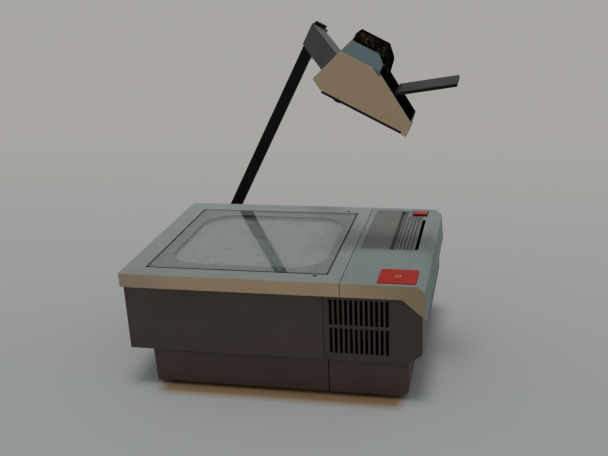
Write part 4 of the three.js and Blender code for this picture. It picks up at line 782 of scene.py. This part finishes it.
makeCrossSlots(crossSlot)
print("stage lid dressed")

# Housing, base and feet
easedCopies((
    ("left_housing", darkCase, 0.0011),
    ("right_housing", grilleCase, 0.0005),
    ("left_base", baseCase, 0.0011),
    ("right_base", baseCase, 0.0011),
    ("foot_near_left", rubberBlack, 0.0006),
    ("foot_near_right", rubberBlack, 0.0006),
    ("foot_far_left", rubberBlack, 0.0006),
    ("foot_far_right", rubberBlack, 0.0006),
    ("mains_inlet", blackPlastic, 0.0003),
))
print("housing dressed")

# Control end. The pad has rounder edges than the rest.
padEdge = {"width": 0.0014, "rounds": 3}
easedCopies((
    ("control_cover", coverCase, 0.0011),
    ("grip_well", gripGrey, 0.0004),
))
easedCopy("power_pad", padRed, padEdge["width"], padEdge["rounds"])
easedCopies((
    ("rocker_button", rockerRed, 0.0008),
    ("rocker_box", blackPlastic, 0.0003),
    ("pad_switch", blackPlastic, 0.0003),
))

powerMark = {"radius": 0.0042, "width": 0.0007, "stroke": 0.0045, "rise": 0.00008, "gap": 0.9, "steps": 28}


def makePowerMark(p):
    low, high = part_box("power_pad")
    middle = (low + high) / 2
    half = p["width"] / 2
    z = high.z + p["rise"]
    bm = bmesh.new()
    start = math.pi / 2 + p["gap"] / 2
    sweep = 2 * math.pi - p["gap"]
    rows = []
    for i in range(p["steps"] + 1):
        turn = start + sweep * i / p["steps"]
        pair = []
        for r in (p["radius"] - half, p["radius"] + half):
            pair.append(bm.verts.new((middle.x + r * math.cos(turn), middle.y + r * math.sin(turn), z)))
        rows.append(pair)
    for first, second in zip(rows, rows[1:]):
        bm.faces.new((first[0], first[1], second[1], second[0]))
    top = middle.y + p["radius"] + p["width"]
    bottom = top - p["stroke"]
    left = middle.x - half
    right = middle.x + half
    corners = [(left, bottom), (right, bottom), (right, top), (left, top)]
    bm.faces.new([bm.verts.new((x, y, z)) for x, y in corners])
    bmesh.ops.recalc_face_normals(bm, faces=bm.faces)
    for face in bm.faces:
        if face.normal.z < 0:
            face.normal_flip()
    mark = addObject("powerMark", meshFrom(bm, "powerMark"), "power_pad", markWhite)
    thick = mark.modifiers.new("film", "SOLIDIFY")
    thick.thickness = p["rise"] * 2
    thick.offset = -1.0


makePowerMark(powerMark)
print("control end dressed")

# Lamp bay, fan and transformer
easedCopies((
    ("lamp_tray", sheetMetal, 0.0003),
    ("reflector", mirrorCoat, 0.0),
    ("lamp", lensGlass, 0.0),
    ("lamp_holder", ceramic, 0.0008),
    ("condenser_plate", sheetMetal, 0.0003),
    ("condenser_lens", lensGlass, 0.0),
    ("heat_shield", sheetMetal, 0.0003),
    ("fan_frame", insideBlackAndShade, 0.0004),
    ("fan_rotor", blackPlastic, 0.0003),
    ("transformer_core", coreSteel, 0.0004),
    ("transformer_coil", copperWire, 0.001),
    ("hinge_pin_near", platedSteel, 0.0002),
    ("hinge_pin_far", platedSteel, 0.0002),
))
print("lamp bay dressed")

# Arm and its pivot
easedCopies((
    ("arm_bracket", carriagePaint, 0.0008),
    ("pivot_bolt", platedSteel, 0.0004),
    ("inner_washer", turnedBrass, 0.0002),
    ("outer_washer", turnedBrass, 0.0002),
    ("clamp_knob", blackPlastic, 0.001),
    ("arm_bar", armPaint, 0.0008),
    ("focus_rack", platedSteel, 0.0001),
    ("carriage", carriagePaint, 0.0012),
    ("carriage_cap", blackPlastic, 0.0008),
    ("focus_pinion", turnedBrass, 0.0001),
    ("focus_knob", blackPlastic, 0.0006),
))
print("arm dressed")

# Projection head
shellInside = {
    "edge": 0.0014,
    "lift": 0.0002,
    "mouthFacing": (0.83, 0.0, 0.56),  # the rim of the mouth looks this way
    "rimShare": 0.97,
}
capReach = {
    "edge": 0.0022,
    "ahead": (0.888, 0.0, -0.46),  # the way that the head points
    "start": -0.0022,  # places along it
    "end": 0.0488,
    "longer": 0.0025,
}


# Gives the rim of the mouth the dark inside look, and paints shade on the faces that look back at the shell
# itself
def darkenInside(obj, look, c):
    mesh = obj.data
    mesh.materials.append(look)
    slot = len(mesh.materials) - 1
    points = [v.co.copy() for v in mesh.vertices]
    tree = BVHTree.FromPolygons(points, [list(p.vertices) for p in mesh.polygons])
    mouthFacing = Vector(c["mouthFacing"])
    for polygon in mesh.polygons:
        start = polygon.center + polygon.normal * c["lift"]
        isRim = polygon.normal.dot(mouthFacing) > c["rimShare"]
        if isRim or tree.ray_cast(start, polygon.normal)[0] is not None:
            polygon.material_index = slot


# The cap's front stands a little further ahead than its solid
def lengthenCap(obj, c):
    ahead = Vector(c["ahead"])
    for vertex in obj.data.vertices:
        share = (vertex.co.dot(ahead) - c["start"]) / (c["end"] - c["start"])
        vertex.co += ahead * c["longer"] * min(max(share, 0.0), 1.0)


darkenInside(easedCopy("head_shell", headCase, shellInside["edge"]), insideBlackAndShade, shellInside)
lengthenCap(easedCopy("head_cap", capGloss, capReach["edge"]), capReach)
easedCopies((
    ("mouth_bezel", bezelBlack, 0.0004),
    ("head_plate", blackPlastic, 0.0006),
    ("head_latch", blackPlastic, 0.0005),
    ("lens_barrel", blackPlastic, 0.0004),
    ("lower_lens", lensGlass, 0.0),
    ("lens_spacer", blackPlastic, 0.0002),
    ("upper_lens", lensGlass, 0.0),
    ("head_mirror", mirrorCoat, 0.0002),
    ("mirror_bracket", sheetMetal, 0.0002),
    ("flap_frame", blackPlastic, 0.0004),
    ("flap_panel", flapTop, 0.0003),
    ("flap_pin", platedSteel, 0.0002),
))
print("head dressed")


# Room: a pale floor that runs warmer and lighter far behind, even light from all round, and a lamp overhead
floorTones = {
    "near": (0.56, 0.585, 0.59),
    "far": (0.84, 0.79, 0.735),
    "start": -0.2,
    "end": 1.6,
    "warmShadow": (0.39, 0.265, 0.155),  # painted shade with a warm bounce on the floor along the near edge of the base
    "warmX": (-0.125, 0.27),
    "warmY": (-0.212, -0.16),
    "warmSoft": 0.011,
    "size": 40.0,
    "drop": 0.0002,  # below the feet
}


def makeFloor(f):
    mat, tree, shader = newLook("paleFloor", f["near"], roughness=0.85, Specular_IOR_Level=0.2)
    place = separated(tree, "Object")
    depth = fadeIn(tree, place.outputs["Y"], f["start"], f["end"])
    colour = blendColour(tree, depth, f["near"], f["far"])
    limits = (
        ("Y", f["warmY"][0], fadeIn),
        ("Y", f["warmY"][1], fadeOut),
        ("X", f["warmX"][0], fadeIn),
        ("X", f["warmX"][1], fadeOut),
    )
    # Painted warm shade along the near edge of the base
    colour = blendColour(tree, withinLimits(tree, place, f["warmSoft"], limits), colour, f["warmShadow"])
    tree.links.new(colour, shader.inputs["Base Color"])
    bm = bmesh.new()
    bmesh.ops.create_grid(bm, x_segments=1, y_segments=1, size=f["size"])
    mesh = bpy.data.meshes.new("floor")
    bm.to_mesh(mesh)
    bm.free()
    mesh.materials.append(mat)
    floor = bpy.data.objects.new("floor", mesh)
    floor.location.z = cadBounds[0][2] - f["drop"]
    bpy.context.scene.collection.objects.link(floor)


makeFloor(floorTones)

overheadLight = {
    "strength": 0.75,
    "softness": 0.26,
    "aim": (0.0, 0.03, -1.0),
    "place": (0.0, 0.0, 2.0),
    "colour": (1.0, 0.99, 0.97),
}


def makeSun(c):
    data = bpy.data.lights.new("overheadLight", "SUN")
    data.energy = c["strength"]
    data.angle = c["softness"]
    data.color = c["colour"]
    light = bpy.data.objects.new("overheadLight", data)
    turn = Vector(c["aim"]).to_track_quat("-Z", "Y").to_matrix().to_4x4()
    light.matrix_world = Matrix.Translation(Vector(c["place"])) @ turn
    bpy.context.scene.collection.objects.link(light)


makeSun(overheadLight)

roomLight = {"colour": (0.80, 0.82, 0.82), "strength": 0.44}
world = bpy.data.worlds.new("softRoom")
world.use_nodes = True
world.node_tree.nodes["Background"].inputs["Color"].default_value = (*roomLight["colour"], 1.0)
world.node_tree.nodes["Background"].inputs["Strength"].default_value = roomLight["strength"]
bpy.context.scene.world = world
print("room lit")
